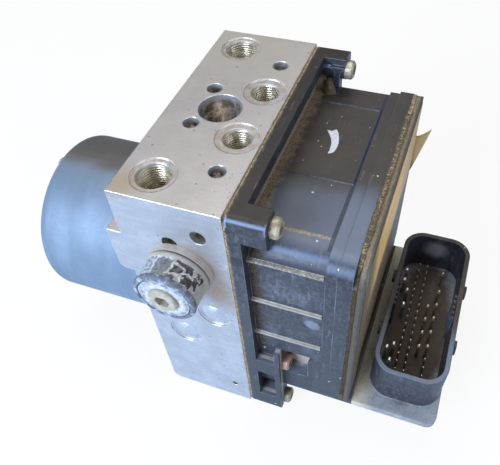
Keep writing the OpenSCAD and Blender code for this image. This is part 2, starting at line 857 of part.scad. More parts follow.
// A hollow column at the block's end that carries screws; side is -1 or 1
module lug_column(side) {
  mid_z = screw_zs[1];
  top_lug_len = boss_out - flange_t + eps;
  web_h = block_h - 2.7 - body_top + 3;
  mirror([0, side < 0 ? 1 : 0, 0]) translate([x_body - eps, half_d - lug_d, 0]) {
    // Top lug: a roof over a pocket that faces the middle, and a web that widens into the roof
    translate([0, 0, block_h - 10.2]) difference() {
      cube([top_lug_len, lug_d, 10.2]);
      translate([1.2, -1, -1]) cube([top_lug_len, 3.6, 8.4]);
    }
    translate([0, lug_d - screw_inset, screw_zs[0]]) rotate([0, 90, 0])
      cylinder(h = top_lug_len, r = screw_head_r);
    translate([top_lug_len - 4.2, 3.5, body_top - 3]) rotate([90, 0, 0]) linear_extrude(5)
      polygon([[0, 0], [2.4, 0], [2.4, web_h - 1.6], [4, web_h], [-1.6, web_h], [0, web_h - 1.6]]);
    // Middle and bottom lugs, with the thin web that joins them
    translate([0, 0, mid_z - 5]) cube([low_boss_out - flange_t, lug_d, 10]);
    translate([0, 0, 0.4]) cube([low_boss_out - flange_t, lug_d, 11.6]);
    translate([low_boss_out - flange_t - 2.2, 0, 6]) cube([2.2, lug_d, ledge_z - 6]);
    translate([0, 0, 6]) cube([low_boss_out - flange_t - 1, 1.8, mid_z - 6]);
  }
}

// The connector's collar, open upwards
module shroud_wall_ring() {
  translate([shroud_x, 0, plate_top - eps]) linear_extrude(shroud_h + eps) difference() {
    rounded_rect(shroud_w, shroud_l, shroud_round);
    rounded_rect(shroud_w - 2 * shroud_wall, shroud_l - 2 * shroud_wall, shroud_round - shroud_wall);
  }
}

module coding_ribs() {
  rib_x = shroud_w / 2 - shroud_wall - 0.5;
  for (side = [-1, 1]) {
    for (k = [0 : 4]) {
      translate([shroud_x + side * rib_x, 3 * k - 2, plate_top + shroud_h / 2 - 2])
        cube([1.2, 1.3, shroud_h - 4], center = true);
    }
  }
}

module lock_pegs() {
  for (side = [-1, 1]) {
    for (y = [-16, 14]) {
      translate([shroud_x + side * (shroud_w / 2 - 0.5), y, plate_top + shroud_h - 6])
        rotate([0, 90 * side, 0]) cylinder(h = 1.9, r = 3.2, $fn = 24);
    }
  }
}

side_rib_zs = [block_h - 22.6, block_h - 46, 62.2];
rib_out = 0.8;
rib_t = 0.9;

module side_ribs() {
  for (z = side_rib_zs) {
    translate([x_body - 1, -body_half - rib_out, z - rib_t / 2])
      cube([x_band_one - 0.4 - x_body + 1, 2 * (body_half + rib_out), rib_t]);
  }
}

// A band round the housing, standing out by a step, with its shoulder at the front and back
module band(x, step) {
  high = body_half + step + band_step;
  top = body_top + step;
  across(x, x_rim - x) {
    body_drawing(body_half + step, ledge_z, top, body_round);
    intersection() {
      body_drawing(high, ledge_z, top, body_round - 3);
      translate([-high, shoulder_z]) square([2 * high, top]);
    }
  }
}

// Low ridges that frame the panel on the housing's top
module top_ridges() {
  panel_front = -9.5;
  panel_back = body_half - 12.6;
  ridge_w = 0.7;
  ridge_z = body_top - 0.5;
  for (y = [panel_front, panel_back]) {
    translate([x_body - channel_in, y - ridge_w / 2, ridge_z])
      cube([x_band_one - 0.9 - x_body + channel_in, ridge_w, 1]);
  }
  translate([x_band_one - 1.6, panel_front, ridge_z]) cube([ridge_w, panel_back - panel_front, 1]);
}

module pin_seats() {
  small_pins(plate_top - seat_depth, seat_depth + 1, 0.04);
  load_pin_set(plate_top - seat_depth, seat_depth + 1, 0.04);
  supply_pin_set(plate_top - seat_depth, seat_depth + 1, 0.04);
}

module controller_housing() {
  color("black") difference() {
    union() {
      difference() {
        across(x_flange, flange_t) flange_drawing();
        lip_channel();
      }
      across(x_body - eps, x_rim - x_body + eps) {
        body_drawing(body_half, ledge_z, body_top, body_round);
        translate([-low_half, plate_low]) square([2 * low_half, ledge_z - plate_low + 1]);
      }
      band(x_band_one, band_step);
      band(x_band_two, 2 * band_step);
      base_plate();
      intersection() {
        across(x_flange, housing_len) flange_drawing();
        union() {
          lug_column(-1);
          lug_column(1);
        }
      }
      shroud_wall_ring();
      coding_ribs();
      lock_pegs();
      side_ribs();
      top_ridges();
    }
    across(x_flange - 1, x_board - x_flange + 1) cavity_drawing();
    across(x_board - 2.3, 2.3 + eps)
      body_drawing(cavity_half, cavity_low, body_top - wall, body_round - wall);
    across(x_board, x_rim - x_board + 1)
      body_drawing(cavity_half + 1.3, cavity_low - 0.5, body_top - wall + 1, body_round - wall);
    for (side = [-1, 1]) {
      screw_recess(side);
      // Round mark that the mould's ejector pin leaves
      translate([x_board - 5.5, side * body_half, motor_z + 27]) rotate([90, 0, 0])
        cylinder(h = 0.5, r = 3.3, center = true);
    }
    at_screws() along_x(x_flange - 1, 0, 0) cylinder(h = low_boss_out + 2, r = screw_r + 0.2);
    pin_seats();
  }
}

// Under its top lip the flange is thin: a channel runs between the lip and the housing's top
lip_h = 5;
channel_in = 2.9;

module lip_channel() {
  translate([x_body - channel_in, lug_d - half_d, body_top])
    cube([channel_in, 2 * (half_d - lug_d), block_h - lip_h - body_top]);
}

// The base plate runs out under the connector with rounded corners
module base_plate() {
  corner = 4;
  start = x_flange + low_boss_out;
  translate([0, 0, plate_low]) linear_extrude(plate_t) {
    translate([start, -low_half]) square([x_plate_end - start - corner, 2 * low_half]);
    translate([start, corner - low_half]) square([x_plate_end - start, 2 * (low_half - corner)]);
    for (side = [-1, 1]) {
      translate([x_plate_end - corner, side * (low_half - corner)]) circle(corner);
    }
  }
}

// Room for the middle screw's head and for the driver, under the ledge; its end leans back at the top
module screw_recess(side) {
  long = recess_len - low_boss_out;
  high = ledge_z - recess_low;
  mirror([0, side < 0 ? 1 : 0, 0]) {
    translate([x_flange + low_boss_out, recess_half + 12, recess_low]) rotate([90, 0, 0]) linear_extrude(12)
      polygon([[0, 0], [long, 0], [long, high - recess_lean[1]], [long + recess_lean[0], high], [0, high]]);
    // Below the recess the housing starts behind the bottom screw's head
    translate([x_body, recess_half, plate_low - 1])
      cube([low_boss_out - flange_t - 3, half_d - lug_d - recess_half, recess_low - plate_low + 1]);
  }
}

module controller_cover() {
  color("dimgrey") across(x_cover, cover_t) translate([0, 0.3])
    body_drawing(body_half + 1.5 * band_step, plate_top, body_top + 1.5 * band_step, body_round);
}

module cover_seal() {
  color("tan") across(x_rim + eps, bead_t - 2 * eps) difference() {
    body_drawing(body_half + 1.2, plate_top + 0.3, body_top + 1.4, body_round);
    body_drawing(cavity_half + 1.6, plate_top + 1.5, body_top - wall + 1.2, body_round - wall);
  }
}

label_t = 0.25;

// The label's back edge has torn loose over a stretch that stands out from the cover
module controller_label() {
  y_back = body_half + 0.5;
  z_top = body_top - 4;
  flap_low = z_top - 37;
  color("wheat") {
    across(x_face, label_t) difference() {
      translate([-body_half + 5, plate_top + 8]) square([body_half - 5 + y_back, z_top - plate_top - 8]);
      translate([y_back - 9, flap_low]) polygon([[0, 12], [10, 0], [10, 24], [0, 14]]);
    }
    translate([x_face, y_back, flap_low]) rotate([90, 0, 0]) linear_extrude(label_t)
      polygon([[0, -2], [1.2, 4], [2.8, 12], [4.8, 20], [6.6, 28], [3.2, 25.5], [0, 24]]);
  }
}

// One screw into the block; its head bears on a lug at distance out from the flange's back
module controller_screw(out) {
  along_x(x_ctrl - screw_depth, 0, 0) {
    cylinder(h = screw_depth + gasket_t + out, r = screw_r - 0.1);
    difference() {
      translate([0, 0, screw_depth + gasket_t + out]) {
        cylinder(h = screw_head_h - 0.8, r = screw_head_r);
        translate([0, 0, screw_head_h - 0.8 - eps])
          cylinder(h = 0.8, r1 = screw_head_r, r2 = screw_head_r - 0.8);
      }
      translate([0, 0, screw_depth + gasket_t + out + 1.4]) cylinder(h = 4, r = 2.3, $fn = 6);
    }
  }
}

module controller_screws() {
  color("darkkhaki") for (side = [-1, 1]) {
    translate([0, side * (half_d - screw_inset), 0]) {
      translate([0, 0, screw_zs[0]]) controller_screw(boss_out);
      translate([0, 0, screw_zs[1]]) controller_screw(low_boss_out);
      translate([0, 0, screw_zs[2]]) controller_screw(low_boss_out);
    }
  }
}

module at_all_valves() {
  at_valves([0 : valve_cols - 1], [0 : valve_rows - 1]) children();
}

module valve_coils() {
  color("darkorange") at_all_valves() along_x(x_coil + yoke_wall + 0.1, 0, 0) difference() {
    cylinder(h = coil_len - 2 * yoke_wall - 0.2, r = coil_r - yoke_wall - 0.1);
    translate([0, 0, -1]) cylinder(h = coil_len, r = dome_r + 0.15);
  }
}

pin_offset = coil_r - yoke_wall - 1.2;

module coil_yokes() {
  color("silver") at_all_valves() along_x(x_coil, 0, 0) difference() {
    cylinder(h = coil_len, r = coil_r);
    translate([0, 0, yoke_wall]) cylinder(h = coil_len - 2 * yoke_wall, r = coil_r - yoke_wall);
    translate([0, 0, -1]) cylinder(h = coil_len + 2, r = dome_r + 0.15);
    for (side = [-1, 1]) {
      translate([0, side * pin_offset, coil_len - 2]) cylinder(h = 4, r = 0.7, $fn = 24);
    }
  }
}

module coil_pins() {
  color("gold") at_all_valves() for (side = [-1, 1]) {
    along_x(x_coil + coil_len - yoke_wall, side * pin_offset, 0)
      cylinder(h = x_board - x_coil - coil_len + yoke_wall, r = 0.4, $fn = 24);
  }
}

module circuit_board() {
  half = cavity_half + 1;
  color("darkgreen") across(x_board + eps, board_t)
    body_drawing(half, cavity_low - 0.3, body_top - wall + 0.7, body_round - wall);
}

module board_chips() {
  x = x_board + board_t + 2 * eps;
  color("black") {
    translate([x, -12, motor_z + 10]) cube([1.6, 22, 22]);
    for (y = [-38, 20]) {
      translate([x, y, motor_z - 12]) cube([2.2, 14, 14]);
    }
    translate([x, 22, motor_z + 22]) cube([1.5, 9, 12]);
  }
}

module board_capacitors() {
  color("darkblue") for (y = [-30, -18]) {
    along_x(x_board + board_t + 2 * eps, y, motor_z + 42) cylinder(h = 5.5, r = 4);
  }
}

// A square pin with a chamfered tip, drawn up from the floor of its seat
module square_pin(size, len, extra) {
  s = size + 2 * extra;
  translate([-s / 2, s / 2, 0]) rotate([90, 0, 0]) linear_extrude(s)
    polygon([[0, 0], [s, 0], [s, len - s / 2], [s * 0.7, len], [s * 0.3, len], [0, len - s / 2]]);
}

signal_x = [-5.7, -1.9];
small_row_ys = [-29.9, -25.7, -21.5];
load_x = [2.2, 5.8];

module small_pins(z, len, extra) {
  for (x = signal_x) {
    for (k = [0 : row_pins - 1]) {
      translate([shroud_x + x, (k - (row_pins - 1) / 2) * row_pitch, z]) square_pin(0.64, len, extra);
    }
  }
  for (y = small_row_ys) {
    translate([shroud_x + load_x[1], y, z]) square_pin(0.64, len, extra);
  }
}

module load_pin_set(z, len, extra) {
  for (k = [0 : 3]) {
    translate([shroud_x + load_x[0], -15.7 + 7.4 * k, z]) square_pin(1.2, len, extra);
  }
  for (k = [0 : 4]) {
    translate([shroud_x + load_x[1], -14.7 + 7.75 * k, z]) square_pin(1.2, len, extra);
  }
  translate([shroud_x + load_x[1], 27.4, z]) square_pin(1.2, len, extra);
}

supply_spots = [
  [-11.1, 24.6], [-11.1, 18.4], [-8.8, 12.8], [-8.8, 4.4], [-11.2, -20.5], [-8.6, -18.2], [-8.8, -26.4]
];

module supply_pin_set(z, len, extra) {
  for (spot = supply_spots) {
    translate([shroud_x + spot[0], spot[1], z]) square_pin(1.5, len, extra);
  }
}

pin_base = plate_top - seat_depth;
pin_len = seat_depth + pin_h;

module signal_pins() {
  color("gold") small_pins(pin_base, pin_len, 0);
}

module load_pins() {
  color("gold") load_pin_set(pin_base, pin_len, 0);
}

module supply_pins() {
  color("silver") supply_pin_set(pin_base, pin_len, 0);
}

valve_block();
damper_plugs();
pump_plugs();
bush_washer();
bush_rubber();
bush_sleeve();
bush_screw();
accumulator_caps();
accumulator_piston_front();
accumulator_piston_back();
accumulator_seal_front();
accumulator_seal_back();
accumulator_spring_front();
accumulator_spring_back();
inlet_valves();
outlet_valves();
switching_valves();
priming_valves();
pressure_sensor();
pump_piston_front();
pump_piston_back();
pump_spring_front();
pump_spring_back();
pump_sleeves();
motor_can();
motor_magnets();
armature_core();
armature_windings();
commutator();
motor_shaft();
motor_end_bearing();
motor_block_bearing();
eccentric_ring();
brush_plate();
brushes();
brush_springs();
motor_seal();
motor_bolts();
motor_terminals();
terminal_sleeve();
controller_gasket();
controller_housing();
controller_cover();
cover_seal();
controller_label();
controller_screws();
valve_coils();
coil_yokes();
coil_pins();
circuit_board();
board_chips();
board_capacitors();
signal_pins();
load_pins();
supply_pins();
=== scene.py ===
# A brake pressure modulator taken off a car: a drilled aluminium valve block with a steel pump motor
# on one side and a black plastic controller on the other, dusty and stained as the photograph shows it.
import json
import math
from types import SimpleNamespace

import bmesh
import bpy
from mathutils import Matrix, Vector, noise


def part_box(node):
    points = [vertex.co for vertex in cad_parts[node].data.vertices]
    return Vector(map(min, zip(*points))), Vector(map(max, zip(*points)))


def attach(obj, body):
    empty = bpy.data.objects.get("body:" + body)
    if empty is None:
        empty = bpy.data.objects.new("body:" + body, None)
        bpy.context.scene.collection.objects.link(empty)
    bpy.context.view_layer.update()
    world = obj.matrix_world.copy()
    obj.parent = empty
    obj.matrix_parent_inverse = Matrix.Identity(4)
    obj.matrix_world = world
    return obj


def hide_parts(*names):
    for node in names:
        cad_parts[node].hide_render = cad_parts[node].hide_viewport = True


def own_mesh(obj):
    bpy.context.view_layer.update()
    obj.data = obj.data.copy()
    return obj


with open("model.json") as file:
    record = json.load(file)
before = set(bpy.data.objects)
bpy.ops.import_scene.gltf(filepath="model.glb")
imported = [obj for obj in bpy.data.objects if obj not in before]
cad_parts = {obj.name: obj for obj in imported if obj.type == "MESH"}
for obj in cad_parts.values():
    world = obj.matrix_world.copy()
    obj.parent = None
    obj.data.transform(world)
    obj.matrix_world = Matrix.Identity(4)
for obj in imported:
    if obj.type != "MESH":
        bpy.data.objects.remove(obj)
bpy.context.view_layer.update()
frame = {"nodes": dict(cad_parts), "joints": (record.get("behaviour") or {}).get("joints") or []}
nodes = frame["nodes"]
MM = 0.001


# The photograph
# Taken from above the bush side, a hand's breadth over the block's front edge, with a wide lens.
# The place, turn and lens were solved from the block's edges and the ports' circles.
PHOTO_WIDTH, PHOTO_HEIGHT = 500, 465
camera_place = Vector((78.9, -150.5, 255.1)) * MM
camera_right = Vector((0.93696, 0.34556, -0.05174))
camera_down = Vector((0.23992, -0.74378, -0.62390))
camera_ahead = Vector((-0.25410, 0.57217, -0.77980))
focal_pixels = 554.33
middle_x, middle_y = 265.12, 254.39


def add_object(name, data):
    """A new object in the scene."""
    added = bpy.data.objects.new(name, data)
    bpy.context.scene.collection.objects.link(added)
    return added


lens = bpy.data.cameras.new("photo_camera")
lens.sensor_width = 36
lens.lens = focal_pixels * lens.sensor_width / PHOTO_WIDTH
lens.shift_x = (PHOTO_WIDTH / 2 - middle_x) / PHOTO_WIDTH
lens.shift_y = (middle_y - PHOTO_HEIGHT / 2) / PHOTO_WIDTH
lens.clip_start = 0.01
camera = add_object("photo_camera", lens)
turn = Matrix((camera_right, -camera_down, -camera_ahead)).transposed()
camera.matrix_world = Matrix.Translation(camera_place) @ turn.to_4x4()
bpy.context.scene.camera = camera
bpy.context.scene.view_settings.view_transform = "Standard"


# The studio
# A white floor under the block, a cool window-like softbox in front of the bush side, a warmer one
# above, and a grey room whose upper half is darker, as the tops of the glossy pieces show.
class Value:
    """A node's output. Arithmetic and comparisons with it add Math nodes to the tree in hand."""

    def __init__(self, socket):
        self.socket = socket

    def __add__(self, other):
        return maths("ADD", self, other)

    def __sub__(self, other):
        return maths("SUBTRACT", self, other)

    def __rsub__(self, other):
        return maths("SUBTRACT", other, self)

    def __mul__(self, other):
        return maths("MULTIPLY", self, other)

    def __truediv__(self, other):
        return maths("DIVIDE", self, other)

    def __lt__(self, other):
        return maths("LESS_THAN", self, other)

    def __gt__(self, other):
        return maths("GREATER_THAN", self, other)

    def __abs__(self):
        return maths("ABSOLUTE", self)


def draw_in(new_tree):
    """Takes a node tree in hand, empty: nodes are added to it until the next one is taken."""
    global tree
    tree = new_tree
    tree.nodes.clear()
    return tree


def add_node(kind, settings=None, **values):
    """Adds a node, sets its options, and sets or links its inputs by name or number."""
    node = tree.nodes.new(kind)
    for key, value in (settings or {}).items():
        setattr(node, key, value)
    for key, value in values.items():
        spot = node.inputs[int(key[1:]) if key[1:].isdigit() else key.replace("_", " ")]
        if isinstance(value, Value):
            tree.links.new(value.socket, spot)
        else:
            spot.default_value = value
    return node


def output_of(kind, output=0, settings=None, **values):
    """One output of a node added in that way."""
    return Value(add_node(kind, settings, **values).outputs[output])


def maths(operation, *terms):
    """The result of a Math node on up to three numbers or values."""
    named = {f"i{k}": term for k, term in enumerate(terms)}
    return output_of("ShaderNodeMath", 0, {"operation": operation}, **named)


def parts_of(vector):
    """A vector's X, Y and Z."""
    return [Value(part) for part in add_node("ShaderNodeSeparateXYZ", Vector=vector).outputs]


def mixed(share, below, above):
    """A colour between two, or one laid on the other."""
    below, above = (colour if isinstance(colour, Value) else (*colour, 1) for colour in (below, above))
    settings = {"data_type": "RGBA", "clamp_factor": True}
    return output_of("ShaderNodeMix", 2, settings, i0=share, i6=below, i7=above)


def stepped(value, low, high):
    """A value's smooth rise from 0 at low to 1 at high."""
    settings = {"interpolation_type": "SMOOTHSTEP"}
    return output_of("ShaderNodeMapRange", "Result", settings, Value=value, From_Min=low, From_Max=high)


def spread(share, low, high):
    """A number between low and high."""
    return maths("MULTIPLY_ADD", share, high - low, low)


AIM = Vector((0.02, 0, 0.07))


def room_light(name, place, size, power, colour):
    """A square lamp that looks at the middle of the module."""
    lamp = bpy.data.lights.new(name, "AREA")
    lamp.size, lamp.energy, lamp.color = size, power, colour
    holder = add_object(name, lamp)
    holder.location = place
    holder.rotation_euler = (AIM - Vector(place)).to_track_quat("-Z", "Y").to_euler()


room_light("window", (-0.45, -1.0, 0.62), 0.7, 22, (0.72, 0.82, 0.98))
room_light("ceiling", (-0.2, 0.35, 1.3), 1.0, 8, (1.0, 0.97, 0.94))
room_light("right_fill", (1.1, -0.3, 0.6), 0.8, 3.5, (0.9, 0.95, 1.0))

ROOM_STRENGTH = 0.42
world = bpy.data.worlds.new("grey_room")
bpy.context.scene.world = world
world.use_nodes = True
draw_in(world.node_tree)
height = parts_of(output_of("ShaderNodeTexCoord", "Generated"))[2]
room = mixed(stepped(height, -0.1, 0.75), (0.66, 0.77, 0.95), (0.38, 0.35, 0.32))
seen = output_of("ShaderNodeLightPath", "Is Camera Ray")
background = output_of("ShaderNodeBackground", Color=mixed(seen, room, (1, 1, 1)),
                       Strength=spread(seen, ROOM_STRENGTH, 1.0))
add_node("ShaderNodeOutputWorld", Surface=background)

FLOOR_HALF, FLOOR_DROP, FLOOR_GLOW = 3.0, 0.0002, 0.88
floor_corners = [(side * FLOOR_HALF, end * FLOOR_HALF, -FLOOR_DROP)
                 for side, end in ((-1, -1), (1, -1), (1, 1), (-1, 1))]
floor_mesh = bpy.data.meshes.new("studio_floor")
floor_mesh.from_pydata(floor_corners, [], [(0, 1, 2, 3)])
studio_floor = add_object("studio_floor", floor_mesh)
floor_paint = bpy.data.materials.new("white_floor")
floor_paint.use_nodes = True
draw_in(floor_paint.node_tree)
path = add_node("ShaderNodeLightPath").outputs
mirrored = Value(path["Is Glossy Ray"])
watched = maths("MAXIMUM", Value(path["Is Camera Ray"]), mirrored)
matt = output_of("ShaderNodeBsdfDiffuse", Color=(0.9, 0.9, 0.9, 1))
glow = output_of("ShaderNodeEmission", Color=mixed(mirrored, (1, 1, 1), (0.55, 0.73, 1.0)), Strength=1.0)
paper = output_of("ShaderNodeMixShader", i0=watched * FLOOR_GLOW, i1=matt, i2=glow)
add_node("ShaderNodeOutputMaterial", Surface=paper)
floor_mesh.materials.append(floor_paint)


# Valve block
# A bar of aluminium, sawn and milled square, then drilled from every side. Years under the bonnet have
# dulled it: the top is grey-brown, and dirt has dried in the steps round the ports and beside the bush.
def given_values():
    """What enters the group in hand, by name."""
    entered = tree.nodes.new("NodeGroupInput").outputs
    return SimpleNamespace(**{socket.name: Value(socket) for socket in entered if socket.name})


def shader_group(name, inputs, **outputs):
    """An empty shader group and what enters it. A tuple starts a vector socket, a number a plain one."""
    group = draw_in(bpy.data.node_groups.new(name, "ShaderNodeTree"))
    for label, start in inputs.items():
        kind = "NodeSocketVector" if isinstance(start, tuple) else "NodeSocketFloat"
        group.interface.new_socket(label, in_out="INPUT", socket_type=kind).default_value = start
    for label, kind in (outputs or {"Mask": "Float"}).items():
        group.interface.new_socket(label, in_out="OUTPUT", socket_type="NodeSocket" + kind)
    return group, given_values()


def shaded_point():
    """The point being shaded, in the object's own metres."""
    return output_of("ShaderNodeTexCoord", "Object")


def here():
    """The X, Y and Z of that point."""
    return parts_of(shaded_point())


def facing():
    """The X, Y and Z of the way that the surface faces."""
    return parts_of(output_of("ShaderNodeTexCoord", "Normal"))


def vectors(operation, *terms, **named):
    """The vector result of a Vector Math node, or its number for a length or a dot product."""
    named.update({f"i{k}": term for k, term in enumerate(terms)})
    output = "Value" if operation in ("LENGTH", "DOT_PRODUCT") else "Vector"
    return output_of("ShaderNodeVectorMath", output, {"operation": operation}, **named)


def noise_at(scale, vector, detail):
    """Soft noise round 0.5 with features of about 1/scale metres."""
    return output_of("ShaderNodeTexNoise", Vector=vector, Scale=scale, Detail=detail)


def wander(scale, amount, detail=4.0):
    """Noise round 0, for shifting an edge by up to about half the amount."""
    return (noise_at(scale, shaded_point(), detail) - 0.5) * amount


SAMPLES = 8
settled_dust, given = shader_group("settled_dust", {"Scale": 200.0, "From": 0.3, "To": 0.9, "Patches": 0.5})
upward = facing()[2] + wander(given.Scale, given.Patches, 5.0)
add_node("NodeGroupOutput", Mask=stepped(upward, given.From, given.To))

corner_dirt, given = shader_group(
    "corner_dirt", {"Distance": 0.001, "Scale": 900.0, "From": 0.25, "To": 0.6, "Patches": 0.4})
hollow = 1.0 - output_of("ShaderNodeAmbientOcclusion", "AO", {"samples": SAMPLES}, Distance=given.Distance)
hollow = hollow + wander(given.Scale, given.Patches, 5.0)
add_node("NodeGroupOutput", Mask=stepped(hollow, given.From, given.To))

# Rounded edges: their mask carries wear and painted edge highlights.
edge_wear_and_highlight, given = shader_group(
    "edge_wear_and_highlight", {"Radius": 0.0004, "Scale": 1500.0, "Broken": 0.5}, Mask="Float", Normal="Vector")
rounded = output_of("ShaderNodeBevel", "Normal", {"samples": SAMPLES}, Radius=given.Radius)
turned = 1.0 - vectors("DOT_PRODUCT", rounded, output_of("ShaderNodeNewGeometry", "Normal"))
turned = turned + wander(given.Scale, given.Broken) * 0.2
add_node("NodeGroupOutput", Mask=stepped(turned, 0.02, 0.16), Normal=rounded)

stain_patch, given = shader_group(
    "stain_patch", {"Middle": (0, 0, 0), "Reach": (1, 1, 1), "Inner": 0.5, "Scale": 300.0, "Ragged": 0.5})
away = vectors("LENGTH", vectors("DIVIDE", vectors("SUBTRACT", shaded_point(), given.Middle), given.Reach))
add_node("NodeGroupOutput", Mask=stepped(away + wander(given.Scale, given.Ragged, 6.0), 1.0, given.Inner))

mottling, given = shader_group(
    "mottling", {"Scale": 300.0, "Stretch": (1, 1, 1), "Low": 0.4, "High": 0.6, "Shift": (0, 0, 0)})
spread_out = vectors("ADD", vectors("MULTIPLY", shaded_point(), given.Stretch), given.Shift)
add_node("NodeGroupOutput", Mask=stepped(noise_at(given.Scale, spread_out, 6.0), given.Low, given.High))

stray_specks, given = shader_group(
    "stray_specks", {"Scale": 300.0, "Size": 0.2, "Share": 0.1, "Shift": (0, 0, 0)})
shifted = vectors("ADD", shaded_point(), given.Shift)
cells = add_node("ShaderNodeTexVoronoi", Vector=shifted, Scale=given.Scale).outputs
drawn = output_of("ShaderNodeSeparateColor", "Red", Color=Value(cells["Color"]))
near = Value(cells["Distance"]) + wander(4000.0, 0.25)
add_node("NodeGroupOutput", Mask=(drawn < given.Share) * (near < given.Size))


def use(group, **values):
    """The outputs of a shader group placed in a material with its own values."""
    return [Value(socket) for socket in add_node("ShaderNodeGroup", {"node_tree": group}, **values).outputs]


def dust(scale, start, end, patches):
    """Dust on what faces up, from one steepness to another."""
    return use(settled_dust, Scale=scale, From=start, To=end, Patches=patches)[0]


def dirt(distance, scale, start, end, patches):
    """Dirt in corners and grooves."""
    return use(corner_dirt, Distance=distance, Scale=scale, From=start, To=end, Patches=patches)[0]


def worn_and_highlit_edges(radius, scale, broken):
    """The mask of rounded edges, which carry wear and painted highlights, and the normal that rounds them."""
    return use(edge_wear_and_highlight, Radius=radius, Scale=scale, Broken=broken)


def patch(middle, reach, inner, scale, ragged):
    """A ragged spot round a middle, fading from the inner share of its reach."""
    return use(stain_patch, Middle=middle, Reach=reach, Inner=inner, Scale=scale, Ragged=ragged)[0]


def mottled(scale, low=0.35, high=0.65, shift=(0, 0, 0), stretch=(1, 1, 1)):
    """Cloudy patches, where noise rises from low to high."""
    return use(mottling, Scale=scale, Low=low, High=high, Shift=shift, Stretch=stretch)[0]


def specks(scale, size, share, shift=(0, 0, 0)):
    """Small round marks in a share of the cells."""
    return use(stray_specks, Scale=scale, Size=size, Share=share, Shift=shift)[0]


def either(*masks):
    """Where any of some masks is."""
    joined = masks[0]
    for mask in masks[1:]:
        joined = maths("MAXIMUM", joined, mask)
    return joined


def new_finish(name):
    """Takes a new material's tree in hand."""
    finish = bpy.data.materials.new(name)
    finish.use_nodes = True
    draw_in(finish.node_tree)
    return finish


def surface(**sockets):
    """Ends a material with its Principled surface."""
    add_node("ShaderNodeOutputMaterial", Surface=output_of("ShaderNodeBsdfPrincipled", **sockets))


def layered(ground, *coats):
    """Colours laid on each other: each coat is its mask, its colour and how much of it covers."""
    for mask, colour, cover in coats:
        ground = mixed(mask * cover, ground, colour)
    return ground


def relief(height, depth, **base):
    """The normal of a surface whose height varies by depth metres, on a base Normal if there is one."""
    return output_of("ShaderNodeBump", Height=height, Distance=depth, Strength=1.0, **base)


def dress(finish, *names):
    """Gives CAD nodes their finish."""
    for name in names:
        for spot in nodes[name].material_slots:
            spot.material = finish


block_low, block_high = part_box("valve_block")
ctrl_face, top_face, front_face = block_high.x, block_high.z, block_low.y
outer_port = Vector((-8.3, 39.1, 131)) * MM
inner_port = Vector((11.4, 13.9, 131)) * MM
bush_axis = Vector((1.6, -50.5, 99)) * MM

milled = new_finish("machined_aluminium")
x, y, z = here()
aged = dust(90, 0.35, 1.0, 0.5)
clouds = mottled(130, 0.35, 0.68)
fine = mottled(1400, 0.3, 0.7)
tool_marks = mottled(500, 0.3, 0.7, stretch=(0.25, 3.0, 3.0))
scratches = mottled(420, 0.50, 0.66, (0.8, 0.2, 0.3), (0.25, 2.6, 1.0))
tide = mottled(420, 0.42, 0.6, (0.3, 0.1, 0))
bore_soot = mottled(330, 0.40, 0.58, (0.1, 0.4, 0.2))
corners = dirt(0.9 * MM, 1200, 0.30, 0.75, 0.5)
pits = specks(420, 0.16, 0.10)
coarse_pits = specks(190, 0.10, 0.16, (0.4, 0.2, 0.1))
rim, rounded = worn_and_highlit_edges(0.6 * MM, 1800, 0.5)
by_bush = patch(tuple(bush_axis + Vector((4.5, 0, -2)) * MM), (0.0175, 0.01, 0.0175), 0.60, 160, 0.5)
under_bush = patch((0.016, -0.0505, 0.087), (0.009, 0.01, 0.012), 0.2, 260, 0.7)
corner_tan = patch((-0.017, -0.046, top_face), (0.010, 0.012, 0.004), 0.2, 300, 0.8)
face_mark = patch((0.0137, -0.0505, 0.0131), (0.0022, 0.01, 0.002), 0.4, 900, 0.4)
round_ports = either(*[patch((port.x, side * port.y, top_face), (0.0088, 0.0088, 0.004), 0.9, 700, 0.1)
                       for side in (-1, 1) for port in (outer_port, inner_port)])
sunk = top_face - 0.3 * MM - z
for reach, from_middle in ((ctrl_face, x), (-front_face, y)):
    sunk = maths("MINIMUM", sunk, reach - abs(from_middle))
in_bore = stepped(sunk, 0.5 * MM, 3.0 * MM)
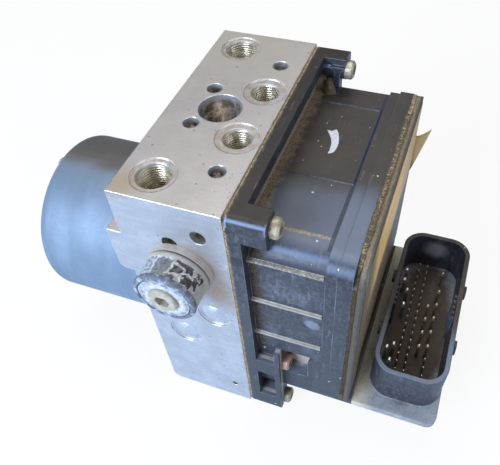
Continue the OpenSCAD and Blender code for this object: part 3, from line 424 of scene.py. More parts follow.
# Fields of pits on the top: along the controller's seam, and three spots of (X, Y, half width, half length)
pit_fields = ((0.0165, -0.039, 0.004, 0.009), (0.0142, 0.0031, 0.0035, 0.0045), (0.0195, 0.011, 0.002, 0.005))
pitted = either(stepped(x, 0.0105, 0.0185) * mottled(95, 0.46, 0.58, (0.6, 0.1, 0)),
                *[patch((across, along, top_face), (half_width, half_length, 0.004), 0.3, 300, 0.6)
                  for across, along, half_width, half_length in pit_fields])
seam_pits = specks(800, 0.21, 0.36, (0.2, 0.9, 0.3)) * pitted
seam_dust = stepped(x, ctrl_face - 0.9 * MM, ctrl_face) * bore_soot
skin = layered(
    mixed(clouds, (0.52, 0.55, 0.60), (0.62, 0.65, 0.71)),
    (fine, (0.48, 0.50, 0.55), 0.35),
    (scratches, (0.76, 0.79, 0.83), 0.22),
    (aged, (0.47, 0.45, 0.425), 0.75),
    (aged * clouds, (0.56, 0.53, 0.50), 0.35),
    (aged * stepped(y, 0.0, 0.05), (0.68, 0.62, 0.52), 0.45),
    (aged * stepped(x, 0.004, 0.019), (0.62, 0.60, 0.60), 0.40),
    (round_ports * tide, (0.42, 0.33, 0.26), 0.6),
    (corner_tan, (0.42, 0.33, 0.20), 0.55),
    (by_bush, (0.50, 0.38, 0.30), 0.6),
    (under_bush, (0.50, 0.36, 0.27), 0.7),
    (face_mark, (0.12, 0.11, 0.10), 0.5),
    (corners, (0.13, 0.10, 0.075), 0.75),
    (pits, (0.22, 0.19, 0.17), 0.7),
    (coarse_pits, (0.16, 0.14, 0.12), 0.55),
    (seam_pits, (0.10, 0.09, 0.08), 0.8),
    (seam_dust, (0.36, 0.28, 0.18), 0.7),
    # Painted light: the bore walls are laid light to stand in for light inside the bores, with soot patches
    # on them.
    (in_bore, (0.84, 0.79, 0.70), 0.85),
    (in_bore * bore_soot, (0.15, 0.12, 0.10), 0.75),
    # Worn edges, laid near-white as a painted highlight.
    (rim, (0.95, 0.96, 0.98), 0.9))
surface(Base_Color=skin, Metallic=0.78 - corners * 0.6,
        Roughness=spread(fine, 0.42, 0.56) - either(rim, in_bore) * 0.2,
        Normal=relief(fine * 0.4 + tool_marks * 0.6 - pits * 1.5, 0.02 * MM, Normal=rounded))
dress(milled, "valve_block")


# Plugs
# Turned aluminium slugs pressed into the damper and pump bores and staked all round, with a ball-shaped
# face that catches the light. They are cleaner than the block, with dirt only in the groove round them.
turned_alloy = new_finish("turned_aluminium")
tone = mottled(260, 0.35, 0.7)
fine = mottled(1600, 0.3, 0.7)
corners = dirt(1.2 * MM, 900, 0.35, 0.8, 0.5)
rim, rounded = worn_and_highlit_edges(0.35 * MM, 1800, 0.5)
skin = layered(mixed(tone, (0.60, 0.63, 0.69), (0.70, 0.73, 0.80)),
               # The rounded edges carry a painted highlight.
               (corners, (0.16, 0.13, 0.11), 0.6), (rim, (0.9, 0.92, 0.95), 0.5))
surface(Base_Color=skin, Metallic=0.85, Roughness=spread(fine, 0.26, 0.38),
        Normal=relief(fine, 0.012 * MM, Normal=rounded))
dress(turned_alloy, "damper_plugs", "pump_plugs", "accumulator_caps", "accumulator_piston_front",
      "accumulator_piston_back")


# Port threads
# The four pipe ports are tapped with a fine metric thread, and the chromate wash left in them is yellow.
# Each thread is a V ridge that follows a helix down the bore and runs out at both ends.
def grow(name, grown_by, seed_points, faces, values, body):
    """Runs a Geometry Nodes tree on a seed mesh and keeps the result as a plain mesh that rides on a body."""
    seed = bpy.data.meshes.new(name)
    seed.from_pydata(seed_points, [], faces)
    piece = add_object(name, seed)
    modifier = piece.modifiers.new("grown", "NODES")
    modifier.node_group = grown_by
    for item in grown_by.interface.items_tree:
        if item.in_out == "INPUT" and item.name in values:
            modifier[item.identifier] = values[item.name]
    ready = piece.evaluated_get(bpy.context.evaluated_depsgraph_get())
    grown = bpy.data.meshes.new_from_object(ready)
    piece.modifiers.clear()
    piece.data = grown
    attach(piece, body)


def growth(name, inputs):
    """An empty Geometry Nodes tree with its seed geometry and named inputs."""
    group = draw_in(bpy.data.node_groups.new(name, "GeometryNodeTree"))
    group.interface.new_socket("Geometry", in_out="INPUT", socket_type="NodeSocketGeometry")
    for label, start in inputs.items():
        kind = "Material" if start is None else "Int" if isinstance(start, int) else "Float"
        item = group.interface.new_socket(label, in_out="INPUT", socket_type="NodeSocket" + kind)
        if start is not None:
            item.default_value = start
    group.interface.new_socket("Geometry", in_out="OUTPUT", socket_type="NodeSocketGeometry")
    return group, given_values()


def finish_growth(instances, finish):
    """Ends a tree: the instances become real and get their material."""
    real = output_of("GeometryNodeRealizeInstances", Geometry=instances)
    add_node("NodeGroupOutput", Geometry=output_of("GeometryNodeSetMaterial", Geometry=real, Material=finish))


# A ridge's size in pitches, and in mm the pitch and how deep in the bore's wall the ridge's line runs
RIDGE_HEIGHT, RIDGE_WIDTH, RIDGE_SINK = 0.4, 0.5774, 0.17
PITCH, IN_WALL = 1.0, 0.02
thread_tree, given = growth("port_thread", {"Radius": 0.006, "Pitch": 0.001, "Length": 0.012, "Finish": None})
turns = given.Length / given.Pitch
helix = output_of("GeometryNodeCurveSpiral", Resolution=48, Rotations=turns, Start_Radius=given.Radius,
                  End_Radius=given.Radius, Height=given.Length)
helix = output_of("GeometryNodeSetCurveNormal", Curve=helix)
along = output_of("GeometryNodeSplineParameter", "Factor")
taper = maths("MINIMUM", maths("MINIMUM", along, 1.0 - along) * turns * 1.6, 1.0)
helix = output_of("GeometryNodeSetCurveRadius", Curve=helix, Radius=maths("MAXIMUM", taper, 0.05))
ridge = output_of("GeometryNodeCurvePrimitiveCircle", Resolution=3, Radius=1.0)
size = output_of("ShaderNodeCombineXYZ", X=RIDGE_HEIGHT, Y=RIDGE_WIDTH, Z=1.0)
size = vectors("SCALE", size, Scale=given.Pitch)
sunk = output_of("ShaderNodeCombineXYZ", X=given.Pitch * RIDGE_SINK)
ridge = output_of("GeometryNodeTransform", Geometry=ridge, Translation=sunk, Scale=size)
ridge = output_of("GeometryNodeCurveToMesh", Curve=helix, Profile_Curve=ridge, Fill_Caps=True)
down = output_of("ShaderNodeCombineXYZ", Z=given.Length * -1.0)
ridge = output_of("GeometryNodeTransform", Geometry=ridge, Translation=down)
finish_growth(output_of("GeometryNodeInstanceOnPoints", Points=given.Geometry, Instance=ridge), given.Finish)

thread_metal = new_finish("chromated_thread")
tone = mottled(350)
skin = layered(mixed(tone, (0.72, 0.66, 0.48), (0.90, 0.86, 0.72)),
               (dirt(0.5 * MM, 1500, 0.55, 1.0, 0.4), (0.16, 0.13, 0.08), 0.35))
surface(Base_Color=skin, Metallic=0.95, Roughness=spread(tone, 0.22, 0.34))

thread_top = top_face - 0.9 * MM
for name, port, radius, depth in (("outer_port_threads", outer_port, 6, 12.4),
                                  ("inner_port_threads", inner_port, 5, 10.9)):
    places = [(port.x, side * port.y, thread_top) for side in (-1, 1)]
    sizes = {"Radius": (radius + IN_WALL) * MM, "Pitch": PITCH * MM, "Length": depth * MM}
    grow(name, thread_tree, places, [], {**sizes, "Finish": thread_metal}, "block")


# Bush
# A rubber mount bonded round a steel tube, held to the block by a socket screw. Its rubber has perished: the
# upper side is split into dark blocks with pale cracks, crusted white on the left and smooth underneath.
def spun(name, profile, count, middle, shape):
    """A closed ring turned about an axis along -Y. Profile points are (radius, out), and shape moves each."""
    points, faces = [], []
    for k in range(count):
        angle = math.tau * k / count
        for step, (radius, out) in enumerate(profile):
            radius, out = shape(angle, radius, out)
            points.append((middle.x + radius * math.cos(angle), middle.y - out,
                           middle.z + radius * math.sin(angle)))
    rows = len(profile)
    for k in range(count):
        after = (k + 1) % count
        for step in range(rows):
            on = (step + 1) % rows
            faces.append((k * rows + step, k * rows + on, after * rows + on, after * rows + step))
    mesh = bpy.data.meshes.new(name)
    mesh.from_pydata(points, [], faces)
    mesh.shade_smooth()
    return add_object(name, mesh)


def fine_steps(outline, gap):
    """Points at most gap apart along a closed outline."""
    points = []
    for start, end in zip(outline, outline[1:] + outline[:1]):
        pieces = max(1, math.ceil(math.dist(start, end) / gap))
        points += [tuple(a + (b - a) * k / pieces for a, b in zip(start, end)) for k in range(pieces)]
    return points


def held(value):
    """A number kept between 0 and 1."""
    return min(1.0, max(0.0, value))


RUBBER_WALL, LIP_R, LIP_OUT, LIP_ROUND = 11.6, 10.5, 13.55, 1.38
RUBBER_STEP, RUBBER_COLUMNS = 0.3, 300
lip_arc = [(LIP_R + LIP_ROUND * math.cos(math.radians(a)), LIP_OUT + LIP_ROUND * math.sin(math.radians(a)))
           for a in range(-45, 106, 15)]
rubber_outline = [(6.4, 2.75), (11.3, 2.75), (12.0, 3.2), (12.1, 4.2), (RUBBER_WALL, 5.2),
                  (RUBBER_WALL, 12.1), *lip_arc, (9.9, 14.4), (9.85, 13.6), (9.6, 13.2), (6.4, 13.2)]
# Dark blocks left between the cracks: middle and half width in degrees, then from and to in mm out
rubber_blocks = ((96, 13, 5.4, 13.0), (67, 9, 4.8, 6.6), (70, 8, 7.4, 10.4), (49, 8, 4.9, 8.0),
                 (45, 10, 8.7, 12.6), (28, 6.5, 7.2, 11.0), (30, 5, 4.8, 6.6), (74, 8, 11.3, 13.0),
                 (18, 3, 5.2, 8.4))
rubber_marks = []


def perished(angle, radius, out):
    """The rubber's surface: dark blocks between pale cracks, a crust that flakes, and a smooth stretch."""
    spot = Vector((radius * math.cos(angle), out, radius * math.sin(angle)))
    outside = held((radius - 9.5) / 1.2) * held((out - 4.6) / 0.6)
    turned = math.degrees(angle) + 6.0 * noise.noise(spot * 0.55)
    lifted = out + 1.1 * noise.noise(spot * 0.6 + Vector((9, 0, 0)))
    nearest = min(max(abs(turned - middle) / half, abs(lifted - (low + high) / 2) / ((high - low) / 2))
                  for middle, half, low, high in rubber_blocks)
    nearest += 0.22 * noise.noise(spot * 1.9)
    block = outside * held((1.04 - nearest) / 0.10)
    crack = outside * max(0.0, 1 - abs(nearest - 1.16) / 0.20) * held((13.0 - out) / 0.6)
    crust = max(0.0, math.cos(angle - math.radians(128))) ** 3 * outside
    flakes = noise.fractal(spot * 1.5, 0.8, 2.0, 4) * 0.5 + 0.5
    radius += 0.22 * crack + 0.30 * crust * (flakes - 0.5) - 0.22 * block * max(0.0, noise.noise(spot * 1.3))
    radius += 0.06 * noise.noise(spot * 2.2) * outside
    out -= 0.12 * max(0.0, noise.noise(spot * 0.7)) * (out > 13.2)
    rubber_marks.append((crack, crust * flakes, block * (0.55 if math.degrees(angle) > 80 else 1.0)))
    return radius * MM, out * MM


rubber_piece = spun("bush_rubber_cracked", fine_steps(rubber_outline, RUBBER_STEP), RUBBER_COLUMNS, bush_axis,
                    perished)
for label, marks in zip(("crack", "crust", "blocks"), zip(*rubber_marks)):
    layer = rubber_piece.data.attributes.new(label, "FLOAT", "POINT")
    layer.data.foreach_set("value", marks)

perished_rubber = new_finish("perished_rubber")
crack, crust, blocks = [output_of("ShaderNodeAttribute", "Fac", {"attribute_name": label})
                        for label in ("crack", "crust", "blocks")]
tone = mottled(600)
chalk = mottled(900, 0.42, 0.62, (0.1, 0.2, 0))
bloom = mottled(380, 0.5, 0.62, (0.3, 0, 0))
nose = patch((bush_axis.x, bush_axis.y - 0.0162, bush_axis.z), (0.03, 0.0045, 0.03), 0.75, 400, 0.25)
skin = layered(
    mixed(tone, (0.36, 0.345, 0.31), (0.43, 0.415, 0.385)),
    (stepped(crust, 0.18, 0.42), (0.42, 0.49, 0.60), 0.8),
    (stepped(crust, 0.12, 0.35) * chalk, (0.085, 0.10, 0.13), 0.75),
    (stepped(crack, 0.25, 0.75), (0.74, 0.75, 0.76), spread(chalk, 0.35, 1.0)),
    (blocks, (0.024, 0.025, 0.028), 0.95),
    (blocks * bloom, (0.30, 0.29, 0.27), 0.35),
    (nose, (0.070, 0.088, 0.125), 0.88),
    (nose * bloom, (0.40, 0.47, 0.60), 0.75),
    (nose * chalk * tone, (0.26, 0.34, 0.50), 0.5))
surface(Base_Color=skin, Roughness=spread(tone, 0.55, 0.8), Normal=relief(tone, 0.06 * MM))
rubber_piece.data.materials.append(perished_rubber)
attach(rubber_piece, "block")
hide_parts("bush_rubber")


# Bush washer, tube and screw
# The zinc on the cup washer and on the tube's flange has turned to white oxide. The screw's head is cream
# with the same bloom, and its hexagon socket holds old grease.
oxidised_zinc = new_finish("oxidised_zinc")
powder = mottled(700, 0.35, 0.62)
bare_spots = mottled(420, 0.56, 0.66, (0.2, 0.5, 0))
y = here()[1]
at_nose = stepped(y, bush_axis.y - 0.006, bush_axis.y - 0.009)
from_axis = vectors("MULTIPLY", vectors("SUBTRACT", shaded_point(), tuple(bush_axis)), (1, 0, 1))
from_axis = vectors("LENGTH", from_axis) + wander(500, 2.0 * MM)
outer_part = at_nose * stepped(from_axis, 7.2 * MM, 8.6 * MM)
middle_part = at_nose * stepped(from_axis, 6.4 * MM, 5.4 * MM)
skin = layered(
    mixed(at_nose, (0.47, 0.43, 0.395), (0.42, 0.48, 0.58)),
    (powder, (0.70, 0.74, 0.80), at_nose * 0.7),
    (bare_spots, (0.22, 0.25, 0.32), at_nose * 0.6),
    (specks(420, 0.30, 0.12), (0.36, 0.29, 0.22), 0.35),
    (outer_part * powder, (0.11, 0.145, 0.215), 0.8),
    (middle_part, (0.42, 0.36, 0.28), 0.75),
    (dirt(0.8 * MM, 900, 0.3, 0.8, 0.6), (0.14, 0.12, 0.11), 0.6))
surface(Base_Color=skin, Metallic=0.15, Roughness=spread(powder, 0.5, 0.8), Normal=relief(powder, 0.08 * MM))
dress(oxidised_zinc, "bush_washer", "bush_sleeve")

MIDDLE_SCREW_Z, LOW_SCREW_Z = 0.0388, 0.014
zinc_screw = new_finish("dull_zinc_screw")
tone = mottled(500)
fine = mottled(1800, 0.3, 0.7)
rim, rounded = worn_and_highlit_edges(0.3 * MM, 1500, 0.6)
_, y, z = here()
rusty = abs(z - MIDDLE_SCREW_Z) < 0.008
on_bush = y < -0.052
skin = mixed(on_bush, mixed(tone, (0.30, 0.27, 0.18), (0.56, 0.52, 0.41)),
             mixed(tone, (0.40, 0.37, 0.31), (0.52, 0.50, 0.44)))
skin = layered(
    skin, (rusty, (0.36, 0.20, 0.13), 0.85), (rusty * tone, (0.60, 0.44, 0.40), 0.5),
    (z < LOW_SCREW_Z, (0.30, 0.27, 0.20), 0.7),
    (dirt(1.5 * MM, 800, 0.40, 0.80, 0.4), (0.13, 0.11, 0.06), 0.85),
    # Painted highlight on the rounded edges, strongest on the controller's screws.
    (rim, (0.80, 0.78, 0.70), spread(on_bush, 0.6, 0.1)))
surface(Base_Color=skin, Metallic=0.35, Roughness=on_bush * 0.25 + spread(fine, 0.38, 0.55),
        Normal=relief(fine, 0.02 * MM, Normal=rounded))
dress(zinc_screw, "bush_screw", "controller_screws")


# Inside the block
# Ground steel cartridges, plungers and springs, drilled cylinder sleeves and their black seal rings. They
# keep the fine turning marks and a film of fluid.
def toned_finish(name, dressed, dark, light, scale, rough, metallic=0.0, stretch=(1, 1, 1), depth=0.02):
    """A finish of two tones in a pattern stretched along the piece, with relief of depth mm from it."""
    finish = new_finish(name)
    tone = mottled(scale, 0.32, 0.68, stretch=stretch)
    film = mottled(120, 0.4, 0.7, (0.2, 0.3, 0.1))
    rim, rounded = worn_and_highlit_edges(0.2 * MM, 1500, 0.4)
    # Painted highlight: the rounded edges get a brighter copy of the light tone.
    bright = tuple(min(1.0, part * 1.35) for part in light)
    skin = layered(mixed(tone, dark, light), (film, dark, 0.4), (rim, bright, 0.5))
    surface(Base_Color=skin, Metallic=metallic, Roughness=spread(tone, *rough),
            Normal=relief(tone, depth * MM, Normal=rounded))
    dress(finish, *dressed)
    return finish


toned_finish("ground_steel",
             ("inlet_valves", "outlet_valves", "switching_valves", "priming_valves", "pressure_sensor",
              "pump_piston_front", "pump_piston_back", "pump_sleeves", "eccentric_ring", "motor_shaft"),
             (0.42, 0.42, 0.44), (0.62, 0.62, 0.63), 900, (0.22, 0.36), 1.0, (4, 0.4, 0.4), 0.006)
spring_steel = toned_finish("spring_steel", ("brush_springs",), (0.20, 0.20, 0.21), (0.36, 0.36, 0.37), 1500,
                            (0.28, 0.42), 1.0, depth=0.008)
toned_finish("seal_rubber", ("accumulator_seal_front", "accumulator_seal_back", "motor_seal"),
             (0.018, 0.018, 0.02), (0.045, 0.045, 0.048), 800, (0.42, 0.6))


# Pump and accumulator springs
# Coils of hardened wire. One end stands on a seat in the block and the other under a piston.
for joint in frame["joints"]:
    for spring in joint.get("deforming_nodes", []):
        node = spring["node"]
        side = "xyz".index(spring["mode"][-1])
        seat = spring["fixed_end_" + "xyz"[side] + "_m"]
        coil_mesh = nodes[node].data.copy()
        coil_mesh.transform(nodes[node].matrix_world)
        coil_mesh.materials.clear()
        coil_mesh.materials.append(spring_steel)
        coil = add_object(node.replace("spring", "coil"), coil_mesh)
        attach(coil, "block")
        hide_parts(node)
        along = [float(k == side) for k in range(3)]
        [seat * part for part in along]
        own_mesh(coil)


# Motor can
# Sheet steel drawn to a cup and coated dull blue-grey. Oily dust has baked on along its top, darkened further
# by painted shade on the side away from the window and towards the block. The sides are rubbed clean, the far
# underside carries painted shade, and a few knocks, one painted as a lit and a shaded spot, and rust spots
# show near the block.
motor_coat = new_finish("motor_coating")
x = here()[0]
_, facing_y, facing_z = facing()
# Painted shade: the can darkens on the side away from the window and towards the block, where oily dust also
# lies on its top.
shaded = x * 3.0 + facing_y + wander(55, 0.35)
baked_dust_and_shade = stepped(shaded, -0.42, -0.18) * stepped(facing_z, 0.1, 0.6)
film = stepped(shaded, -0.75, -0.30) * stepped(facing_z, 0.0, 0.6)
# Painted shade on the far end's underside.
low_end = stepped(x, -0.050, -0.095) * stepped(facing_z, 0.30, -0.15)
streaks = mottled(45, 0.35, 0.68, stretch=(2.2, 0.5, 0.5))
clouds = mottled(90, 0.38, 0.68, (0.2, 0.1, 0))
fine = mottled(900, 0.3, 0.7)
# Knocks near the block: one dent painted as a lit spot beside a shaded spot, and a pale spot by the rust.
dent_lit_and_shaded_spots = [patch(place, (r, r, r), 0.2, 400, 0.5)
         for place, r in (((-0.045, -0.0345, 0.034), 0.0026), ((-0.041, -0.0335, 0.0325), 0.0022),
                          ((-0.030, -0.0155, 0.0855), 0.003))]
rim, rounded = worn_and_highlit_edges(0.8 * MM, 900, 0.5)
skin = layered(
    mixed(streaks, (0.165, 0.24, 0.345), (0.21, 0.30, 0.42)),
    (clouds, (0.135, 0.20, 0.285), 0.35),
    (low_end, (0.11, 0.17, 0.25), 0.7),
    (film, (0.19, 0.22, 0.26), 0.6),
    (baked_dust_and_shade, (0.10, 0.092, 0.080), 0.92),
    (baked_dust_and_shade * clouds, (0.155, 0.14, 0.12), 0.35),
    (patch((-0.034, -0.010, 0.0865), (0.006, 0.006, 0.006), 0.1, 300, 0.9), (0.26, 0.15, 0.11), 0.6),
    (dent_lit_and_shaded_spots[0], (0.42, 0.50, 0.62), 0.6), (dent_lit_and_shaded_spots[1], (0.10, 0.13, 0.17), 0.6),
    (dent_lit_and_shaded_spots[2], (0.45, 0.46, 0.50), 0.5),
    (specks(160, 0.16, 0.10), (0.14, 0.12, 0.11), 0.35),
    # Painted blue highlight along the rounded edges.
    (rim, (0.5, 0.6, 0.75), 0.25))
surface(Base_Color=skin, Metallic=0.25 - baked_dust_and_shade * 0.2, Roughness=spread(fine, 0.50, 0.62),
        Normal=relief(fine, 0.015 * MM, Normal=rounded))
dress(motor_coat, "motor_can")


# Motor bolts
# Two long zinc-plated screws that pass through the can beside the magnets and clamp it to the block. Their
# heads stand on the can's closed end and are still bright.
toned_finish("bolt_zinc", ("motor_bolts",), (0.40, 0.42, 0.44), (0.60, 0.66, 0.72), 500, (0.28, 0.45), 0.8)


# Inside the motor
# Ferrite magnets, a stack of iron laminations wound with enamelled wire, a copper commutator, carbon
# brushes in a moulded brown plate, and two ball bearings.
def ridged(along, pitch):
    """A wave that repeats every pitch metres along a coordinate."""
    return spread(maths("SINE", along * (math.tau / pitch)), 0.5, 1.0)


def wound_wire(name, dressed, wire, pitch, axis):
    """Enamelled copper wire in close turns, pitch metres apart along an axis."""
    finish = new_finish(name)
    strands = ridged(here()["XYZ".index(axis)], pitch)
    tone = mottled(350)
    dark = tuple(part * 0.35 for part in wire)
    skin = layered(mixed(strands, dark, wire), (tone, dark, 0.3))
    surface(Base_Color=skin, Metallic=0.7, Roughness=spread(tone, 0.25, 0.4),
            Normal=relief(strands, 0.2 * MM))
    dress(finish, dressed)


toned_finish("ferrite", ("motor_magnets",), (0.07, 0.07, 0.075), (0.13, 0.13, 0.14), 500, (0.55, 0.75))
laminated_iron = new_finish("laminated_iron")
sheets = ridged(here()[0], 0.5 * MM)
tone = mottled(300)
skin = layered(mixed(sheets, (0.16, 0.155, 0.15), (0.34, 0.34, 0.35)), (tone, (0.24, 0.20, 0.17), 0.35))
surface(Base_Color=skin, Metallic=0.8, Roughness=spread(tone, 0.35, 0.55), Normal=relief(sheets, 0.05 * MM))
dress(laminated_iron, "armature_core")
wound_wire("armature_wire", "armature_windings", (0.62, 0.27, 0.12), 0.9 * MM, "Y")
toned_finish("copper_bars", ("commutator",), (0.42, 0.20, 0.11), (0.68, 0.38, 0.24), 700, (0.25, 0.4), 1.0,
             (3, 0.5, 0.5))
toned_finish("brush_carbon", ("brushes",), (0.035, 0.035, 0.038), (0.08, 0.08, 0.085), 1200, (0.4, 0.6), 0.2,
             (1, 1, 3))
toned_finish("brown_moulding", ("brush_plate",), (0.17, 0.085, 0.04), (0.26, 0.14, 0.07), 420, (0.45, 0.6))
toned_finish("bearing_steel", ("motor_end_bearing", "motor_block_bearing"), (0.46, 0.46, 0.47),
             (0.66, 0.66, 0.67), 900, (0.18, 0.3), 1.0, (4, 0.5, 0.5), 0.005)
toned_finish("plated_contact", ("motor_terminals",), (0.50, 0.36, 0.14), (0.72, 0.55, 0.26), 800, (0.25, 0.4),
             1.0, (1, 1, 0.3))
toned_finish("white_moulding", ("terminal_sleeve",), (0.62, 0.58, 0.48), (0.76, 0.73, 0.64), 400, (0.4, 0.55))


# Gasket
# A soft grey seal squeezed between the block and the controller. Sand and old wax fill the groove over it,
# so from outside it is a broken sandy line.
COVER_SIDE = 0.05
sandy_seal = new_finish("sandy_seal")
coarse = mottled(700, 0.40, 0.60)
x, _, z = here()
oily = stepped(z, 0.1160, 0.1140) * (x > COVER_SIDE)
skin = layered(mixed(coarse, (0.26, 0.19, 0.11), (0.50, 0.39, 0.24)),
               (mottled(420, 0.54, 0.62, (0.3, 0.6, 0)), (0.05, 0.04, 0.03), 0.6),
               (oily, (0.05, 0.042, 0.034), 0.85))
surface(Base_Color=skin, Roughness=spread(coarse, 0.75, 0.95), Normal=relief(coarse, 0.25 * MM))
dress(sandy_seal, "controller_gasket", "cover_seal")


def drawn_vector(low, high, seed):
    """A random vector for each point."""
    return output_of("FunctionNodeRandomValue", 0, {"data_type": "FLOAT_VECTOR"}, i0=low, i1=high, Seed=seed)


grit_tree, given = growth("seam_grit", {"Grain": 0.0003, "Crowding": 1.0e6, "Seed": 1, "Finish": None})
scattered = output_of("GeometryNodeDistributePointsOnFaces", Mesh=given.Geometry, Density=given.Crowding,
                      Seed=given.Seed)
grain = output_of("GeometryNodeMeshIcoSphere", Radius=given.Grain, Subdivisions=1)
tumbled = drawn_vector((0, 0, 0), (6.28, 6.28, 6.28), 5)
uneven = drawn_vector((0.35, 0.3, 0.25), (1.25, 1.0, 0.8), 9)
grains = output_of("GeometryNodeInstanceOnPoints", Points=scattered, Instance=grain, Rotation=tumbled,
                   Scale=uneven)
finish_growth(grains, given.Finish)

sand = new_finish("dried_sand")
tone = mottled(1600)
lumps = mottled(260, 0.42, 0.62, (0.7, 0.1, 0))
x, _, z = here()
over_cover = x > COVER_SIDE
oily = stepped(z, 0.1150, 0.1135) * over_cover
skin = mixed(over_cover, mixed(tone, (0.36, 0.27, 0.165), (0.62, 0.49, 0.32)),
             mixed(tone, (0.10, 0.085, 0.06), (0.185, 0.155, 0.105)))
skin = layered(skin, (lumps, (0.10, 0.075, 0.05), spread(over_cover, 0.5, 0.2)),
               (oily, (0.055, 0.042, 0.030), 0.85))
surface(Base_Color=skin, Roughness=spread(tone, 0.8, 0.95))


def sand_along(name, lines, grain_size, crowding, seed):
    """Sand on strips along lines of points, each given with its strip's width along X."""
    points, faces = [], []
    for line, width in lines:
        first = len(points)
        half = Vector((width / 2, 0, 0))
        points += [tuple(Vector(point) + shift) for point in line for shift in (-half, half)]
        faces += [tuple(first + 2 * k + corner for corner in (0, 1, 3, 2)) for k in range(len(line) - 1)]
    values = {"Grain": grain_size, "Crowding": crowding, "Seed": seed, "Finish": sand}
    grow(name, grit_tree, points, faces, values, "block")


# How far a strip of sand lies from a seal's top and from its side
FROM_TOP, FROM_SIDE = 0.05 * MM, 0.1 * MM
gasket_low, gasket_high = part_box("controller_gasket")
gasket_x = (gasket_low.x + gasket_high.x) / 2
over_gasket = [(gasket_x, share * -front_face, gasket_high.z - FROM_TOP)
               for share in (-0.985, -0.5, 0, 0.5, 0.985)]
before_gasket, behind_gasket = [[(gasket_x, beside, share * top_face) for share in (0.985, 0.7, 0.4, 0.12)]
                                for beside in (gasket_low.y - FROM_SIDE, gasket_high.y + FROM_SIDE)]
sand_along("gasket_sand", ((over_gasket, 1.0 * MM), (before_gasket, 0.8 * MM), (behind_gasket, 0.8 * MM)),
           0.30 * MM, 6.0e6, 3)


# Controller housing
# One black moulding in glass-filled plastic: flange, bands, ribs, screw lugs, base plate and connector
# collar. Brown road dust lies on its tops and in its corners. Painted into its colour are a blue-grey sheen
# on the front of its top, highlights on its curve and edges, shadow by its front lug and screw, dark
# reflection over its ribs, and light in its screw recess, on its base plate and in its collar.
FLANGE_FRONT, FLANGE_BACK, BANDS_FROM = 0.0215, 0.0262, 0.0532
PLATE_TOP, LUGS_FROM = 0.0240, 0.1185
SIDE_Y, RIB_TOPS_Y = -0.0468, -0.0487
rib_middles = (0.1088, 0.0854, 0.0626)
screw_head = (35.0 * MM, 3.7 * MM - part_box("controller_screws")[1].y, 125.5 * MM)
black_plastic = new_finish("glass_filled_plastic")
x, y, z = here()
_, facing_y, facing_z = facing()
frontward = stepped(facing_y, -0.05, -0.55)
dusty = dust(120, 0.80, 1.0, 0.22)
film = mottled(150, 0.35, 0.70)
film_fine = mottled(600, 0.35, 0.65, (0.2, 0, 0.3))
grain = mottled(2600)
grit = mottled(1300, 0.40, 0.58, (0.3, 0.3, 0.9))
scuffs = mottled(170, 0.62, 0.70, (0.4, 0.2, 0.6), (3.0, 0.6, 0.6))
corners = dirt(3.0 * MM, 350, 0.30, 0.75, 0.6)
before_bands, on_bands, behind_flange = x < BANDS_FROM, x > BANDS_FROM, x > FLANGE_BACK
# The front lug: a painted blue highlight along its top edges, its scratches, and grime with painted shadow
# under it
on_front_lug = (z > LUGS_FROM) * (y < -0.044)
lug_edges = (z > 0.1270) * on_front_lug
rim, rounded = worn_and_highlit_edges(spread(lug_edges, 0.5 * MM, 1.6 * MM), 900, 1.0)
highlight_patches = either(mottled(75, 0.44, 0.60, (0.1, 0.8, 0.4)) * (1.0 - on_front_lug), lug_edges)
lug_scratches = patch((0.0325, -0.0425, 0.1285), (0.0040, 0.0016, 0.0025), 0.3, 900, 1.2)
lug_shadow_and_grime = patch((0.0300, -0.0475, 0.1135), (0.0062, 0.0040, 0.0062), 0.5, 350, 0.5)
# Painted shadow round the lug's screw head and in the gap behind the lug's end.
screw_shadow = patch(screw_head, (0.0042, 0.0052, 0.0052), 0.75, 500, 0.35)
# The front panel: ribs, clouds of bloom, a painted dark reflection along the top of the ribs, a moulded mark,
# an ejector's mark, painted light in the screw recess, and dirt with painted shade in the corner by the
# flange
rib_tops = stepped(y, -0.0469, -0.0472) * before_bands * behind_flange * (z < 0.1097) * (z > 0.0)
on_side = abs(y - SIDE_Y) < 0.0009
rib_tops = either(rib_tops, *[stepped(abs(z - middle), 0.0011, 0.0006) * on_side * (x < 0.0528)
                              for middle in rib_middles]) * (y > RIB_TOPS_Y)
dark_reflection_over_ribs = stepped(abs(z - 0.1108), 0.0030, 0.0010) * before_bands
in_panel = stepped(x, 0.0275, 0.0330) * before_bands * stepped(z, 0.1110, 0.1040) * stepped(z, 0.045, 0.060)
cloudy = mottled(120, 0.42, 0.72, (0.9, 0.3, 0.2)) * in_panel * spread(film_fine, 0.5, 1.0)
low_flange = stepped(z, 0.075, 0.020) * frontward * (x < 0.0500)
mould_mark = patch((0.0519, -0.0466, 0.0772), (0.0010, 0.002, 0.0016), 0.4, 900, 0.5)
ejector = patch((0.0492, SIDE_Y, 0.0775), (0.0038, 0.002, 0.0034), 0.6, 400, 0.5)
recess_painted_light = patch((0.043, -0.0405, 0.043), (0.0085, 0.004, 0.0115), 0.8, 300, 0.3)
by_flange = stepped(x, FLANGE_BACK, FLANGE_BACK + 1e-5) * stepped(x + wander(260, 0.010, 6.0), 0.0325, 0.0275)
flange_corner_dirt_and_shade = by_flange * frontward * (abs(z - 0.0845) < 0.0345)
